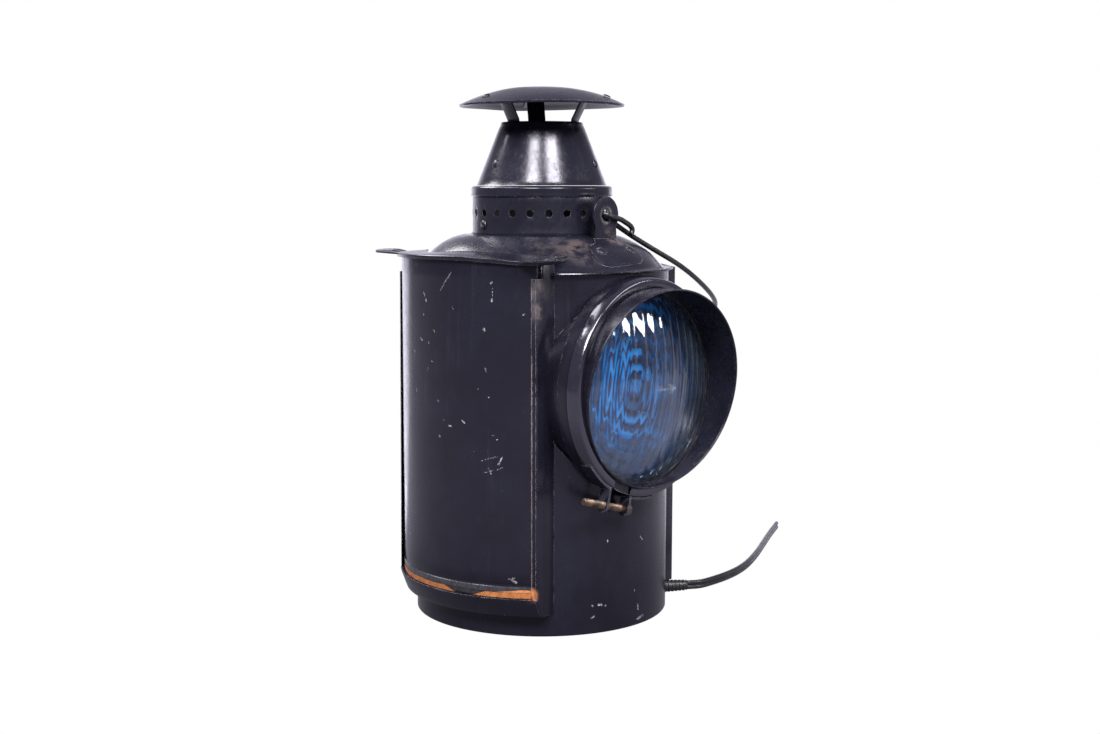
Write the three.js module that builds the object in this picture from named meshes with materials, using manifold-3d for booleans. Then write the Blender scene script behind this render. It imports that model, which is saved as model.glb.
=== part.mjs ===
import * as THREE from "three";
import { mergeVertices } from "three/addons/utils/BufferGeometryUtils.js";
import Module from "manifold-3d";

// A railroad semaphore lamp in painted sheet metal, turned into an electric light.
// Millimetres. The origin is the centre of the base, on the ground, with +Z up.
// The lens looks along -Y, the sliding door faces -X and the mast socket faces +X.

const wasm = await Module();
wasm.setup();

// Fits
const seatGap = 0.3; // between pieces that touch
const slideGap = 0.4; // between pieces that slide or turn on each other
const cutRun = 4; // how far a cutting shape runs past what it cuts
const weld = 0.001; // vertices closer than this are one

// How finely round shapes are drawn
const bodySides = 48;
const ringSides = 40;
const smallSides = 12;
const tinySides = 8;

// Body shell and floor
const bodyRadius = 93;
const bodyWall = 1;
const bodyHeight = 250.4;
const panThickness = 0.8;
const panLipHeight = 10;
const panLipWall = 0.8;

// Door bay on the -X side
const bayInset = 23; // of the bay's sides inside the body's
const bayWall = 1;
const bayBottom = 16.5;
const bayRise = 7.6; // of the bay above the body's top edge
const collarStandoff = 8; // of the collar's foot from the body
const sillOverhang = 2.1; // past the door's face
const sillHeight = 29.35;
const collarWall = 1.2;
const guideLipWidth = 3.5;
const guideLipDrop = 9; // below the bay's top edge
const guideLipGap = 0.7; // between the door's face and the lips
const guideLipWall = 0.9;
const bayTopStandoff = 8; // of the sides' upper corners from the body
const railBottom = 40;
const railDrop = 7.4; // below the body's top edge
const railWall = 1;
const railWidth = 6;
const railLegLength = 8;
const openingHalfWidth = 56;
const openingBottom = 44;
const openingDrop = 10.4; // below the body's top edge

// Sliding door and its top plate
const doorStandoff = 10.4; // of the door's face from the body
const doorWall = 0.9;
const hemRise = 0.5;
const hemBottom = 33.6;
const hemTop = 37.4;
const grooveTop = 38.8;
const plateInset = 8; // of the plate's inner edge inside the body
const plateOverhang = 2.4; // past the door's face
const plateSeat = 0.8; // of the plate's edge above the bay
const plateRise = 2.6;
const plateWall = 1.1;
const plateHemHeight = 3;
const plateHemWidth = 1.6;
const earInset = 16; // of the ears' centres inside the body
const earHoleOffset = 73.6;
const earTip = 92.5;
const earRadius = 12;
const earHoleRadius = 3;

// Roof
const roofWall = 1;
const brimOverhang = 3.6; // past the body
const brimLipHeight = 2;
const brimLipWidth = 1.4;
const shoulderInset = 4.4; // inside the body
const shoulderRise = 2.2; // of the shoulder above the brim
const roofRise = 23.1; // of the neck above the shoulder
const roofRiseShares = [0.203, 0.403, 0.619, 0.797, 0.931];
const roofRadiusShares = [0.886, 0.765, 0.574, 0.362, 0.177];

// Vent band, bead and cone
const ventRadius = 50.5;
const ventWall = 0.8;
const ventOverlap = 5; // of the band down the roof's neck
const ventHeight = 32;
const ventHoleRise = 20.6; // above the band's foot
const ventHoleRadius = 2.6;
const ventHoleCount = 24;
const ventHoleAngle = 49; // degrees from +X to one hole
const beadRadius = 51.8;
const beadHeight = 7.6;
const beadRound = 1.6;
const beadInnerRadius = 45.4;
const coneFootRadius = 47.6;
const coneTopRadius = 29.6;
const coneHeight = 45.4;
const coneWall = 0.8;
const draftTopRadius = 36;
const draftFootRadius = 41;
const draftHeight = 26;
const draftWall = 0.8;

// Cap and its three struts
const capRadius = 59.9;
const capRimGap = 11.3; // of the rim above the cone
const capDepth = 14.6;
const capWall = 1;
const capHemHeight = 1.8;
const strutCount = 3;
const strutAngle = 171.3; // degrees from +X to the first strut
const strutWidth = 13;
const strutThickness = 1.2;
const strutFootDrop = 36; // below the cone's top edge
const strutHeadRadius = 40;
const strutTabEnd = 54;
const capRivetRadius = 50;
const coneRivetDrop = 30; // below the cone's top edge

// Fasteners
const rivetRadius = 3;
const rivetHeight = 1.4;
const screwRadius = 3.2;
const screwHeight = 1.6;
const screwSlotWidth = 0.8;
const screwSlotDepth = 0.7;
const ventScrewRise = 12.2; // above the band's foot
const ventScrewAngle = 168.3; // degrees from +X to the first screw
const ventScrewCount = 3;

// Bail and its two lugs
const bailRise = 37.5; // of the eyes above the roof's shoulder
const bailReach = 198;
const bailBow = 103; // length of the rounded end
const bailWire = 3.8;
const bailBrimGap = 0.65; // of the hanging bail over the roof's brim
const bailCapGap = 2.1; // on each side of the cap as the bail swings past it
const bailFlareStart = 30;
const bailFlareEnd = 90;
const bailTail = 28.3;
const bailTailLift = 3; // of the tails above the legs
const bailTailDrop = 2.4; // of the curled tips below the legs' middle
const lugStandoff = 11.3; // of the front eye from the vent band
const rearLugStandoff = 7.8; // of the rear eye from the vent band
const lugThickness = 1.5;
const lugTopRadius = 13.3;
const lugHoleRadius = 4.7;
const lugStemWidth = 22;
const lugFootHalfWidth = 23.7;
const lugFootShift = -4; // towards the door
const lugFootInset = 7; // of the feet's front inside the body
const lugFootThickness = 1.5;
const lugRivetSpread = 15.5;
const lugRivetInset = 17.2; // inside the body

// Lens housing, measured along the lens axis from the lamp's centre line
const lensTopGap = 2.2; // between the clamp band and the body's top edge
const barrelRadius = 70.3;
const barrelWall = 1;
const barrelInset = 37; // of the barrel's back inside the body
const shoulderSeat = 8; // of the shoulder's back inside the body
const shoulderStandoff = 7.6; // of the shoulder's front from the body
const shoulderOuterRadius = 75.2;
const ledgeInnerRadius = 66;
const ledgeThickness = 1;
const lensSeatDepth = 6.2; // behind the shoulder's front
const lensRadius = 68.25;
const lensRimThickness = 4;
const lensBulge = 16.6;
const lensHollow = 14.2;
const lensBulgeRadius = 66.4;
const gasketThickness = 1.6;
const gasketWidth = 2;
const retainingRingThickness = 1.1;
const hoodRadius = 69.7;
const hoodWall = 0.9;
const hoodFlangeThickness = 1;
const hoodReach = 17.3; // in front of the shoulder
const hoodTiltDown = 6.4; // degrees
const hoodTiltSide = 7.4; // degrees
const hoodEdgeWidth = 1.2;
const hoodEdgeLength = 1.6;
const bandOverlap = 5.8; // of the band back over the shoulder
const bandRadius = 76.9;
const bandWall = 1;
const lensOpeningRadius = 70.8;
const colourLensRadius = 65;
const colourLensThickness = 4;
const colourLensStep = 2.2;
const colourLensRings = 5;
const colourLensDepth = 10.4; // of the holder's back behind the lens seat
const holderWall = 1;
const holderLip = 3.4;

// Clamp screw under the lens
const clampAngle = 15.1; // degrees that the screw slopes down towards +X
const clampScrewGap = 8.7; // of the screw's centre under the band
const clampScrewRadius = 2.7;
const clampScrewStart = -44;
const clampHeadRadius = 4.4;
const clampHeadLength = 2.8;
const clampLugWidth = 8.4;
const clampLugThickness = 1.6;
const clampLugMargin = 6.8; // of the lugs past the screw's centre
const leftLugPlace = -23.6;
const rightLugPlace = -0.8;
const clampGapMargin = 1.4;
const clampStrapLength = 24;
const clampStrapThickness = 1.3;

// Mast socket on the +X side
const socketStandoff = 11.4; // of the socket's face from the body
const socketHalfWidth = 43;
const socketWall = 1.2;
const socketBottom = 4.7;
const socketDrop = 0.8; // below the body's top edge

// Bulb and its holder
const bracketHeight = 104;
const bracketWidth = 26;
const bracketThickness = 1.6;
const bracketFootLength = 34;
const bracketShelfLength = 40;
const holderRadius = 18;
const holderHeight = 28;
const holderFloor = 5;
const capTubeRadius = 12.8;
const capTubeHeight = 30;
const bulbNeckRadius = 14;
const bulbRadius = 29;
const bulbHeight = 74;

// Lead and its grommet
const cordWidth = 7.2;
const grommetAngle = -36; // degrees from +X
const grommetHeight = 6.6;
const grommetFlangeRadius = 5.4;
const grommetFlangeThickness = 1.6;
const grommetNeckRadius = 4.4;
const reliefLength = 20;
const reliefTipRadius = 3.9;
const leadRadius = 2.6;

const floorRest = 0; // the ground that the lamp stands on

// Radii that follow from one another
const bayHalfWidth = bodyRadius - bayInset;
const frontLugOffset = ventRadius + lugStandoff;
const rearLugOffset = ventRadius + rearLugStandoff;
const lugRivetOffset = bodyRadius - lugRivetInset;
const collarBottomRadius = bodyRadius + collarStandoff;
const doorRadius = bodyRadius + doorStandoff;
const sillRadius = doorRadius + sillOverhang;
const guideLipOuterRadius = doorRadius + guideLipGap + guideLipWall;
const plateInnerRadius = bodyRadius - plateInset;
const plateOuterRadius = doorRadius + plateOverhang;
const earSetback = bodyRadius - earInset;
const brimRadius = bodyRadius + brimOverhang;
const shoulderRadius = bodyRadius - shoulderInset;
const lugFootReach = bodyRadius - lugFootInset;
const barrelBack = bodyRadius - barrelInset;
const shoulderBack = bodyRadius - shoulderSeat;
const shoulderFront = bodyRadius + shoulderStandoff;
const lensSeat = shoulderFront - lensSeatDepth;
const hoodFront = shoulderFront + hoodReach;
const bandBack = shoulderFront - bandOverlap;
const colourLensBack = lensSeat - colourLensDepth;
const socketFace = bodyRadius + socketStandoff;

// Heights that follow from one another
const bayTop = bodyHeight + bayRise;
const guideLipTop = bayTop - guideLipDrop;
const railTop = bodyHeight - railDrop;
const openingTop = bodyHeight - openingDrop;
const socketTop = bodyHeight - socketDrop;
const plateEdgeHeight = bayTop + plateSeat;
const brimBottom = bodyHeight + seatGap;
const shoulderHeight = brimBottom + shoulderRise;
const roofNeckHeight = shoulderHeight + roofRise;
const ventBottom = roofNeckHeight - ventOverlap;
const ventTop = ventBottom + ventHeight;
const bailHeight = shoulderHeight + bailRise;
const lensHeight = bodyHeight - bandRadius - lensTopGap;
const clampDrop = bandRadius + clampScrewGap;
const clampLugReach = clampDrop + clampLugMargin;

const fullTurn = 2 * Math.PI;
const radians = THREE.MathUtils.degToRad;

// Finishes
function finish(color, roughness, metalness) {
  return new THREE.MeshStandardMaterial({ color, roughness, metalness });
}
const blackPaint = finish(0x14141c, 0.3, 0.2);
const wornPaint = finish(0x2a2630, 0.4, 0.4);
const doorPaint = finish(0x10111b, 0.25, 0.2);
const wireSteel = finish(0x1c1c20, 0.45, 0.6);
const bronze = finish(0x8a6a48, 0.4, 0.9);
const rubber = finish(0x0b0b0c, 0.7, 0);
const clearGlass = finish(0xaab4c8, 0.08, 0);
const blueGlass = finish(0x0a58b0, 0.08, 0);
const bulbGlass = finish(0xf2f2ee, 0.2, 0);
const plainSteel = finish(0x9a9a98, 0.4, 0.8);
const phenolic = finish(0x1a1512, 0.5, 0);

// Booleans
function solid(geometry) {
  const bare = geometry.clone();
  bare.deleteAttribute("normal");
  bare.deleteAttribute("uv");
  const merged = mergeVertices(bare, weld);
  const vertProperties = new Float32Array(merged.attributes.position.array);
  const triVerts = new Uint32Array(merged.index.array);
  return new wasm.Manifold(new wasm.Mesh({ numProp: 3, vertProperties, triVerts }));
}

function faceted(manifold) {
  const mesh = manifold.getMesh();
  const geometry = new THREE.BufferGeometry();
  geometry.setAttribute("position", new THREE.BufferAttribute(mesh.vertProperties, 3));
  geometry.setIndex(new THREE.BufferAttribute(mesh.triVerts, 1));
  const open = geometry.toNonIndexed();
  open.computeVertexNormals();
  return open;
}

function cut(geometry, ...tools) {
  return faceted(tools.reduce((body, tool) => body.subtract(solid(tool)), solid(geometry)));
}

function join(geometry, ...others) {
  return faceted(others.reduce((body, other) => body.add(solid(other)), solid(geometry)));
}

function overlap(geometry, ...others) {
  return faceted(others.reduce((body, other) => body.intersect(solid(other)), solid(geometry)));
}

// Shapes. A turned outline lists [radius, height] anticlockwise, and its axis is Z.
function turned(outline, sides = ringSides) {
  const points = outline.map(([radius, height]) => new THREE.Vector2(radius, height));
  return new THREE.LatheGeometry(points, sides).rotateX(Math.PI / 2);
}

function turnedRing(outline, sides = ringSides) {
  return turned([...outline, outline[0]], sides);
}

function tube(outer, inner, bottom, top, sides = ringSides) {
  const outline = [[outer, bottom], [outer, top], [inner, top], [inner, bottom]];
  return turnedRing(outline, sides);
}

function disc(radius, bottom, top, sides = ringSides) {
  return turned([[0, bottom], [radius, bottom], [radius, top], [0, top]], sides);
}

function box(x0, x1, y0, y1, z0, z1) {
  const geometry = new THREE.BoxGeometry(x1 - x0, y1 - y0, z1 - z0);
  return geometry.translate((x0 + x1) / 2, (y0 + y1) / 2, (z0 + z1) / 2);
}

function prism(outline, bottom, top, holes = []) {
  const shape = new THREE.Shape(outline.map(([x, y]) => new THREE.Vector2(x, y)));
  for (const hole of holes) {
    shape.holes.push(hole);
  }
  const settings = { depth: top - bottom, bevelEnabled: false, curveSegments: smallSides / 2 };
  return new THREE.ExtrudeGeometry(shape, settings).translate(0, 0, bottom);
}

function roundHole(x, y, radius) {
  return new THREE.Path().absarc(x, y, radius, 0, fullTurn, true);
}

function arcPoints(centreX, centreY, radius, start, end, steps) {
  return Array.from({ length: steps + 1 }, (_, i) => {
    const angle = start + ((end - start) * i) / steps;
    return [centreX + radius * Math.cos(angle), centreY + radius * Math.sin(angle)];
  });
}

// A domed rivet head that stands on z = 0.
function rivetHead(radius = rivetRadius, height = rivetHeight) {
  const crown = arcPoints(0, 0, 1, 0, Math.PI / 2, 4).map(([x, y]) => [radius * x, height * y]);
  return turned([[0, 0], ...crown.slice(0, -1), [0, height]], tinySides);
}

function screwHead() {
  const slot = box(
    -screwRadius - cutRun, screwRadius + cutRun,
    -screwSlotWidth / 2, screwSlotWidth / 2,
    screwHeight - screwSlotDepth, screwHeight + cutRun,
  );
  return cut(rivetHead(screwRadius, screwHeight), slot);
}

function acrossAt(radius, y) {
  return Math.sqrt(radius * radius - y * y);
}

const lamp = new THREE.Group();

function add(name, geometry, material, parent = lamp) {
  const mesh = new THREE.Mesh(geometry, material);
  mesh.name = name;
  parent.add(mesh);
  return mesh;
}

// A group whose Z points away from the lamp's centre line, leaning up by a slope.
function outwardGroup(angle, radius, height, slope = 0) {
  const turn = new THREE.Group();
  turn.rotation.z = radians(angle);
  const lean = new THREE.Group();
  lean.position.set(radius, 0, height);
  lean.rotation.y = Math.PI / 2 - slope;
  turn.add(lean);
  lamp.add(turn);
  return lean;
}

// Body shell
const bodyInner = bodyRadius - bodyWall;
const grommetHole = disc(grommetNeckRadius + seatGap, bodyInner - cutRun, bodyRadius + cutRun, smallSides)
  .rotateY(Math.PI / 2)
  .rotateZ(radians(grommetAngle))
  .translate(0, 0, grommetHeight);
const doorOpening = box(
  -bodyRadius - cutRun, -bodyRadius / 2,
  -openingHalfWidth, openingHalfWidth,
  openingBottom, openingTop,
);
const lensOpening = disc(lensOpeningRadius, bodyRadius / 2, bodyRadius + cutRun)
  .rotateX(Math.PI / 2)
  .translate(0, 0, lensHeight);
const shellTube = tube(bodyRadius, bodyInner, floorRest, bodyHeight, bodySides);
add("body_shell", cut(shellTube, doorOpening, lensOpening, grommetHole), blackPaint);

// Floor pan with a turned-up lip, notched for the grommet
const panRadius = bodyInner - seatGap;
const panOutline = [
  [0, floorRest], [panRadius, floorRest], [panRadius, panLipHeight],
  [panRadius - panLipWall, panLipHeight], [panRadius - panLipWall, panThickness], [0, panThickness],
];
const grommetRoom = grommetFlangeRadius + seatGap;
const panNotch = box(
  panRadius - 2 * panLipHeight, panRadius + cutRun,
  -grommetRoom, grommetRoom,
  panThickness, panLipHeight + cutRun,
).rotateZ(radians(grommetAngle));
add("floor_pan", cut(turned(panOutline, bodySides), panNotch), blackPaint);

// Door bay: two side walls with a guide lip, over a tapered collar
const bayBack = bodyRadius + seatGap;
function baySide(side) {
  const inner = bayHalfWidth - bayWall;
  const outline = [
    [-acrossAt(bayBack, bayHalfWidth), side * bayHalfWidth],
    [-acrossAt(guideLipOuterRadius, bayHalfWidth), side * bayHalfWidth],
    [-acrossAt(guideLipOuterRadius, inner), side * inner],
    [-acrossAt(bayBack, inner), side * inner],
  ];
  return prism(side < 0 ? outline : outline.reverse(), bayBottom, bayTop);
}
function guideLip(side) {
  const back = guideLipOuterRadius - guideLipWall;
  const strip = tube(guideLipOuterRadius, back, bayBottom + bayWall, guideLipTop, bodySides);
  const edge = bayHalfWidth - guideLipWidth;
  const inner = bayHalfWidth - bayWall / 2;
  const reach = side < 0
    ? box(-sillRadius - cutRun, 0, -inner, -edge, bayBottom, bayTop)
    : box(-sillRadius - cutRun, 0, edge, inner, bayBottom, bayTop);
  return overlap(strip, reach);
}
const collarOutline = [
  [bayBack, bayBottom], [collarBottomRadius, bayBottom], [sillRadius, sillHeight],
  [sillRadius - collarWall, sillHeight], [collarBottomRadius - collarWall, bayBottom + bayWall],
  [bayBack, bayBottom + bayWall],
];
const shelfOutline = [
  [bayBack, sillHeight - bayWall], [sillRadius - collarWall / 2, sillHeight - bayWall],
  [sillRadius - collarWall / 2, sillHeight], [bayBack, sillHeight],
];
const bayRoom = box(-sillRadius - cutRun, 0, -bayHalfWidth, bayHalfWidth, 0, bayTop);
const bayHull = turned([
  [0, bayBottom], [collarBottomRadius, bayBottom], [sillRadius, sillHeight], [sillRadius, bayTop],
  [0, bayTop],
], bodySides);
const bayShoulder = bodyRadius + bayTopStandoff;
const bayCorners = tube(sillRadius + cutRun, bayShoulder, guideLipTop, bayTop + cutRun, bodySides);
const collar = overlap(turnedRing(collarOutline, bodySides), bayRoom);
const shelf = overlap(turnedRing(shelfOutline, bodySides), bayRoom);
const baySides = cut(overlap(join(baySide(-1), baySide(1)), bayHull), bayCorners);
const casing = join(baySides, guideLip(-1), guideLip(1), collar, shelf);
add("door_casing", casing, blackPaint);

// Inner rails that the door's edges run in front of
const doorBackRadius = doorRadius - doorWall;
function innerRail() {
  const wallFace = bayHalfWidth - bayWall - seatGap;
  const railFace = doorBackRadius - slideGap;
  const front = tube(railFace, railFace - railWall, railBottom, railTop, bodySides);
  const web = tube(railFace - railWall / 2, railFace - railLegLength, railBottom, railTop, bodySides);
  const frontRoom = box(-bodyRadius - railLegLength, 0, wallFace - railWidth, wallFace, 0, bayTop);
  const webRoom = box(-bodyRadius - railLegLength, 0, wallFace - railWall, wallFace, 0, bayTop);
  return join(overlap(front, frontRoom), overlap(web, webRoom));
}
function mirrored(geometry) {
  const flipped = solid(geometry).mirror([0, 1, 0]);
  return faceted(flipped);
}
const rail = innerRail();
add("guide_rail_rear", rail, wornPaint);
add("guide_rail_front", mirrored(rail), wornPaint);

// Sliding door panel, its outline seen in section
const doorBottom = sillHeight + seatGap;
const doorTop = plateEdgeHeight + plateHemHeight - plateWall - seatGap;
const doorOutline = [
  [doorBackRadius, doorBottom], [doorRadius, doorBottom], [doorRadius, hemBottom],
  [doorRadius + hemRise, hemBottom], [doorRadius + hemRise, hemTop],
  [doorRadius - hemRise, hemTop], [doorRadius - hemRise, grooveTop],
  [doorRadius, grooveTop], [doorRadius, doorTop], [doorBackRadius, doorTop],
];
const doorHalfWidth = bayHalfWidth - bayWall - slideGap;
const doorRoom = box(-sillRadius, 0, -doorHalfWidth, doorHalfWidth, 0, doorTop + cutRun);
add("door_panel", overlap(turnedRing(doorOutline, bodySides), doorRoom), doorPaint);

// Door top plate: a sloping crescent with a folded front edge and an ear at each end
const plateOutline = [
  [plateOuterRadius, plateEdgeHeight], [plateOuterRadius, plateEdgeHeight + plateHemHeight],
  [plateInnerRadius, plateEdgeHeight + plateHemHeight + plateRise],
  [plateInnerRadius, plateEdgeHeight + plateHemHeight + plateRise - plateWall],
  [plateOuterRadius - plateHemWidth, plateEdgeHeight + plateHemHeight - plateWall],
  [plateOuterRadius - plateHemWidth, plateEdgeHeight],
];
const plateRoom = box(
  -plateOuterRadius - cutRun, 0, -bayHalfWidth, bayHalfWidth, plateEdgeHeight - cutRun, bayTop + earTip,
);
const earTop = plateEdgeHeight + plateHemHeight;
function ear(side) {
  const centre = earTip - earRadius;
  const tip = arcPoints(-earSetback, centre, earRadius, 0, Math.PI, smallSides / 2);
  const root = bayHalfWidth - earRadius / 2;
  const outline = [[-earSetback - earRadius, root], [-earSetback + earRadius, root], ...tip];
  const hole = roundHole(-earSetback, earHoleOffset, earHoleRadius);
  const tab = prism(outline, earTop - plateWall, earTop, [hole]);
  return side < 0 ? mirrored(tab) : tab;
}
const crescent = overlap(turnedRing(plateOutline, bodySides), plateRoom);
add("door_top_plate", join(crescent, ear(1), ear(-1)), wornPaint);

// Roof: a dished dome with a rolled brim, trimmed flush where the door bay rises past it
const neckRadius = ventRadius + seatGap;
const roofSpan = shoulderRadius - neckRadius;
function roofCurve(lift) {
  const shoulder = [shoulderRadius, shoulderHeight + lift];
  const middle = roofRadiusShares.map((share, i) => [
    neckRadius + roofSpan * share,
    shoulderHeight + roofRise * roofRiseShares[i] + lift,
  ]);
  return [shoulder, ...middle, [neckRadius, roofNeckHeight + lift]];
}
const roofOutline = [
  [bodyRadius - bodyWall, brimBottom], [brimRadius, brimBottom], [brimRadius, brimBottom + brimLipHeight],
  [brimRadius - brimLipWidth, brimBottom + brimLipHeight],
  [brimRadius - 2 * brimLipWidth, brimBottom + roofWall],
  ...roofCurve(0),
  ...roofCurve(-roofWall).reverse(),
];
const bayTrim = cut(
  box(-brimRadius - cutRun, -bayHalfWidth / 2, -bayHalfWidth - slideGap, bayHalfWidth + slideGap,
    brimBottom - cutRun, roofNeckHeight + cutRun),
  disc(bodyRadius, 0, roofNeckHeight + 2 * cutRun, bodySides),
);
add("roof_dome", cut(turnedRing(roofOutline, bodySides), bayTrim), wornPaint);

// Vent band with its row of holes
const ventHoles = Array.from({ length: ventHoleCount }, (_, i) =>
  disc(ventHoleRadius, ventRadius - ventWall - cutRun, ventRadius + cutRun, tinySides)
    .rotateY(Math.PI / 2)
    .rotateZ(radians(ventHoleAngle) + (fullTurn * i) / ventHoleCount)
    .translate(0, 0, ventBottom + ventHoleRise));
const ventTube = tube(ventRadius, ventRadius - ventWall, ventBottom, ventTop);
add("vent_band", cut(ventTube, ...ventHoles), blackPaint);

// Draft tube inside the vent band
const draftSeat = ventRadius - ventWall - seatGap;
const draftOutline = [
  [draftSeat, ventBottom], [draftSeat, ventBottom + draftWall],
  [draftFootRadius, ventBottom + draftWall], [draftTopRadius, ventBottom + draftHeight],
  [draftTopRadius - draftWall, ventBottom + draftHeight], [draftFootRadius - draftWall, ventBottom],
];
add("draft_tube", turnedRing(draftOutline), plainSteel);

// Bead that ties the vent band to the cone
const beadBottom = ventTop + seatGap;
const beadTop = beadBottom + beadHeight;
const beadOutline = [
  [beadRadius - beadRound, beadBottom], [beadRadius, beadBottom + beadRound],
  [beadRadius, beadTop - 2 * beadRound], [beadRadius - beadRound, beadTop - beadRound / 2],
  [coneFootRadius + seatGap, beadTop], [beadInnerRadius, beadTop], [beadInnerRadius, beadTop - coneWall],
  [beadRadius - 2 * beadRound, beadTop - 2 * beadRound],
  [beadRadius - 2 * beadRound, beadBottom],
];
add("vent_bead", turnedRing(beadOutline), blackPaint);

// Chimney cone
const coneFoot = beadTop + seatGap;
const coneTop = coneFoot + coneHeight;
const coneSlope = (coneFootRadius - coneTopRadius) / coneHeight;
function coneRadiusAt(height) {
  return coneFootRadius - coneSlope * (height - coneFoot);
}
const coneOutline = [
  [coneFootRadius, coneFoot], [coneTopRadius + coneWall / 2, coneTop - coneWall],
  [coneTopRadius - coneWall, coneTop], [coneTopRadius - 2 * coneWall, coneTop - coneWall],
  [coneFootRadius - 2 * coneWall, coneFoot],
];
add("chimney_cone", turnedRing(coneOutline), blackPaint);

// Cap: a shallow dome with a folded rim
const capSteps = 6;
const capRimHeight = coneTop + capRimGap;
const capTop = capRimHeight + capDepth;
function capHeightAt(radius) {
  const share = radius / capRadius;
  return capTop - (capTop - capRimHeight - capHemHeight) * share * share;
}
const capUpper = Array.from({ length: capSteps + 1 }, (_, i) => {
  const radius = (capRadius * (capSteps - i)) / capSteps;
  return [radius, capHeightAt(radius)];
});
const capLower = capUpper
  .map(([radius, height]) => [Math.max(radius - capWall, 0), height - capWall])
  .reverse();
const capHem = [
  [capRadius - capHemHeight, capHeightAt(capRadius) - capHemHeight],
  [capRadius, capHeightAt(capRadius) - capHemHeight],
];
add("cap", turned([[0, capTop - capWall], ...capLower.slice(2), ...capHem, ...capUpper]), blackPaint);

// Struts between the cone and the cap, each riveted at both ends
const strutFoot = coneTop - strutFootDrop;
const strutSeat = 2 * coneWall + seatGap;
function strutOutline() {
  const wall = acrossAt(coneRadiusAt(strutFoot) - strutSeat, strutWidth / 2);
  const lip = acrossAt(coneRadiusAt(coneTop) - strutSeat - coneWall, strutWidth / 2);
  const tabTop = (radius) => capHeightAt(Math.hypot(radius, strutWidth / 2) + capWall) - capWall - seatGap;
  const outer = [
    [wall, strutFoot], [lip, coneTop],
    [strutHeadRadius, tabTop(strutHeadRadius) - strutThickness],
    [strutTabEnd, tabTop(strutTabEnd) - strutThickness],
  ];
  const inner = [
    [strutTabEnd, tabTop(strutTabEnd)], [strutHeadRadius - strutThickness, tabTop(strutHeadRadius)],
    [lip - strutThickness, coneTop], [wall - strutThickness, strutFoot],
  ];
  return [...outer, ...inner];
}
const capFall = capTop - capHeightAt(capRadius);
const capRivetSlope = Math.atan((2 * capFall * capRivetRadius) / (capRadius * capRadius));
const coneRivetHeight = coneTop - coneRivetDrop;
for (let i = 0; i < strutCount; i += 1) {
  const angle = strutAngle + (360 * i) / strutCount;
  const strip = prism(strutOutline(), -strutWidth / 2, strutWidth / 2)
    .rotateX(Math.PI / 2)
    .rotateZ(radians(angle));
  add(`cap_strut_${i + 1}`, strip, blackPaint);
  const onCap = outwardGroup(
    angle, capRivetRadius, capHeightAt(capRivetRadius) + seatGap, Math.PI / 2 - capRivetSlope,
  );
  add(`cap_rivet_${i + 1}`, rivetHead(), blackPaint, onCap);
  const onCone = outwardGroup(
    angle, coneRadiusAt(coneRivetHeight) + seatGap, coneRivetHeight, Math.atan(coneSlope),
  );
  add(`cone_rivet_${i + 1}`, rivetHead(), wornPaint, onCone);
}

// Screws that hold the vent band to the roof neck
for (let i = 0; i < ventScrewCount; i += 1) {
  const angle = ventScrewAngle + (360 * i) / ventScrewCount;
  const onBand = outwardGroup(angle, ventRadius + seatGap, ventBottom + ventScrewRise);
  add(`vent_screw_${i + 1}`, screwHead(), wornPaint, onBand);
}

// Bail lugs: an upright eye on a foot that follows the roof
function roofSkin(lower, upper) {
  return turnedRing([...roofCurve(lower), ...roofCurve(upper).reverse()], bodySides);
}
function bailLug(lugOffset) {
  const stemHalf = lugStemWidth / 2;
  const neck = Math.acos(Math.min(1, stemHalf / lugTopRadius));
  const crown = arcPoints(0, bailHeight, lugTopRadius, -neck, Math.PI + neck, smallSides);
  const outline = [[stemHalf, shoulderHeight], ...crown, [-stemHalf, shoulderHeight]];
  const hole = roundHole(0, bailHeight, lugHoleRadius);
  const eye = prism(outline, -lugThickness / 2, lugThickness / 2, [hole])
    .rotateX(Math.PI / 2)
    .translate(0, -lugOffset, 0);
  const inside = disc(bodyRadius, 0, shoulderHeight + seatGap, bodySides);
  const roofTop = [...roofCurve(seatGap), [0, roofNeckHeight + seatGap]];
  const underRoof = turned([[0, shoulderHeight], [shoulderRadius, shoulderHeight], ...roofTop], bodySides);
  const sheet = roofSkin(seatGap + lugFootThickness, seatGap);
  const lobeRadius = lugFootHalfWidth - lugRivetSpread;
  const lobe = arcPoints(lugRivetSpread, -lugRivetOffset, lobeRadius, -Math.PI / 3, Math.PI / 2, 6);
  const frontTurn = Math.asin(lugRivetSpread / lugFootReach);
  const footFront = arcPoints(0, 0, lugFootReach, -Math.PI / 2 - frontTurn, -Math.PI / 2 + frontTurn, 4);
  const across = ([x, y]) => [-x, y];
  const foot = [...footFront, ...lobe, ...[...lobe].reverse().map(across)]
    .map(([x, y]) => [x + lugFootShift, y]);
  const root = [[stemHalf, -lugOffset + lugThickness / 2], [-stemHalf, -lugOffset + lugThickness / 2]];
  const half = footFront.length + lobe.length;
  const footOutline = [...foot.slice(0, half), ...root, ...foot.slice(half)];
  const footRoom = prism(footOutline, shoulderHeight - cutRun, roofNeckHeight + cutRun);
  return join(cut(eye, inside, underRoof), overlap(sheet, footRoom));
}
add("bail_lug_front", bailLug(frontLugOffset), wornPaint);
add("bail_lug_rear", mirrored(bailLug(rearLugOffset)), wornPaint);

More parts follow.
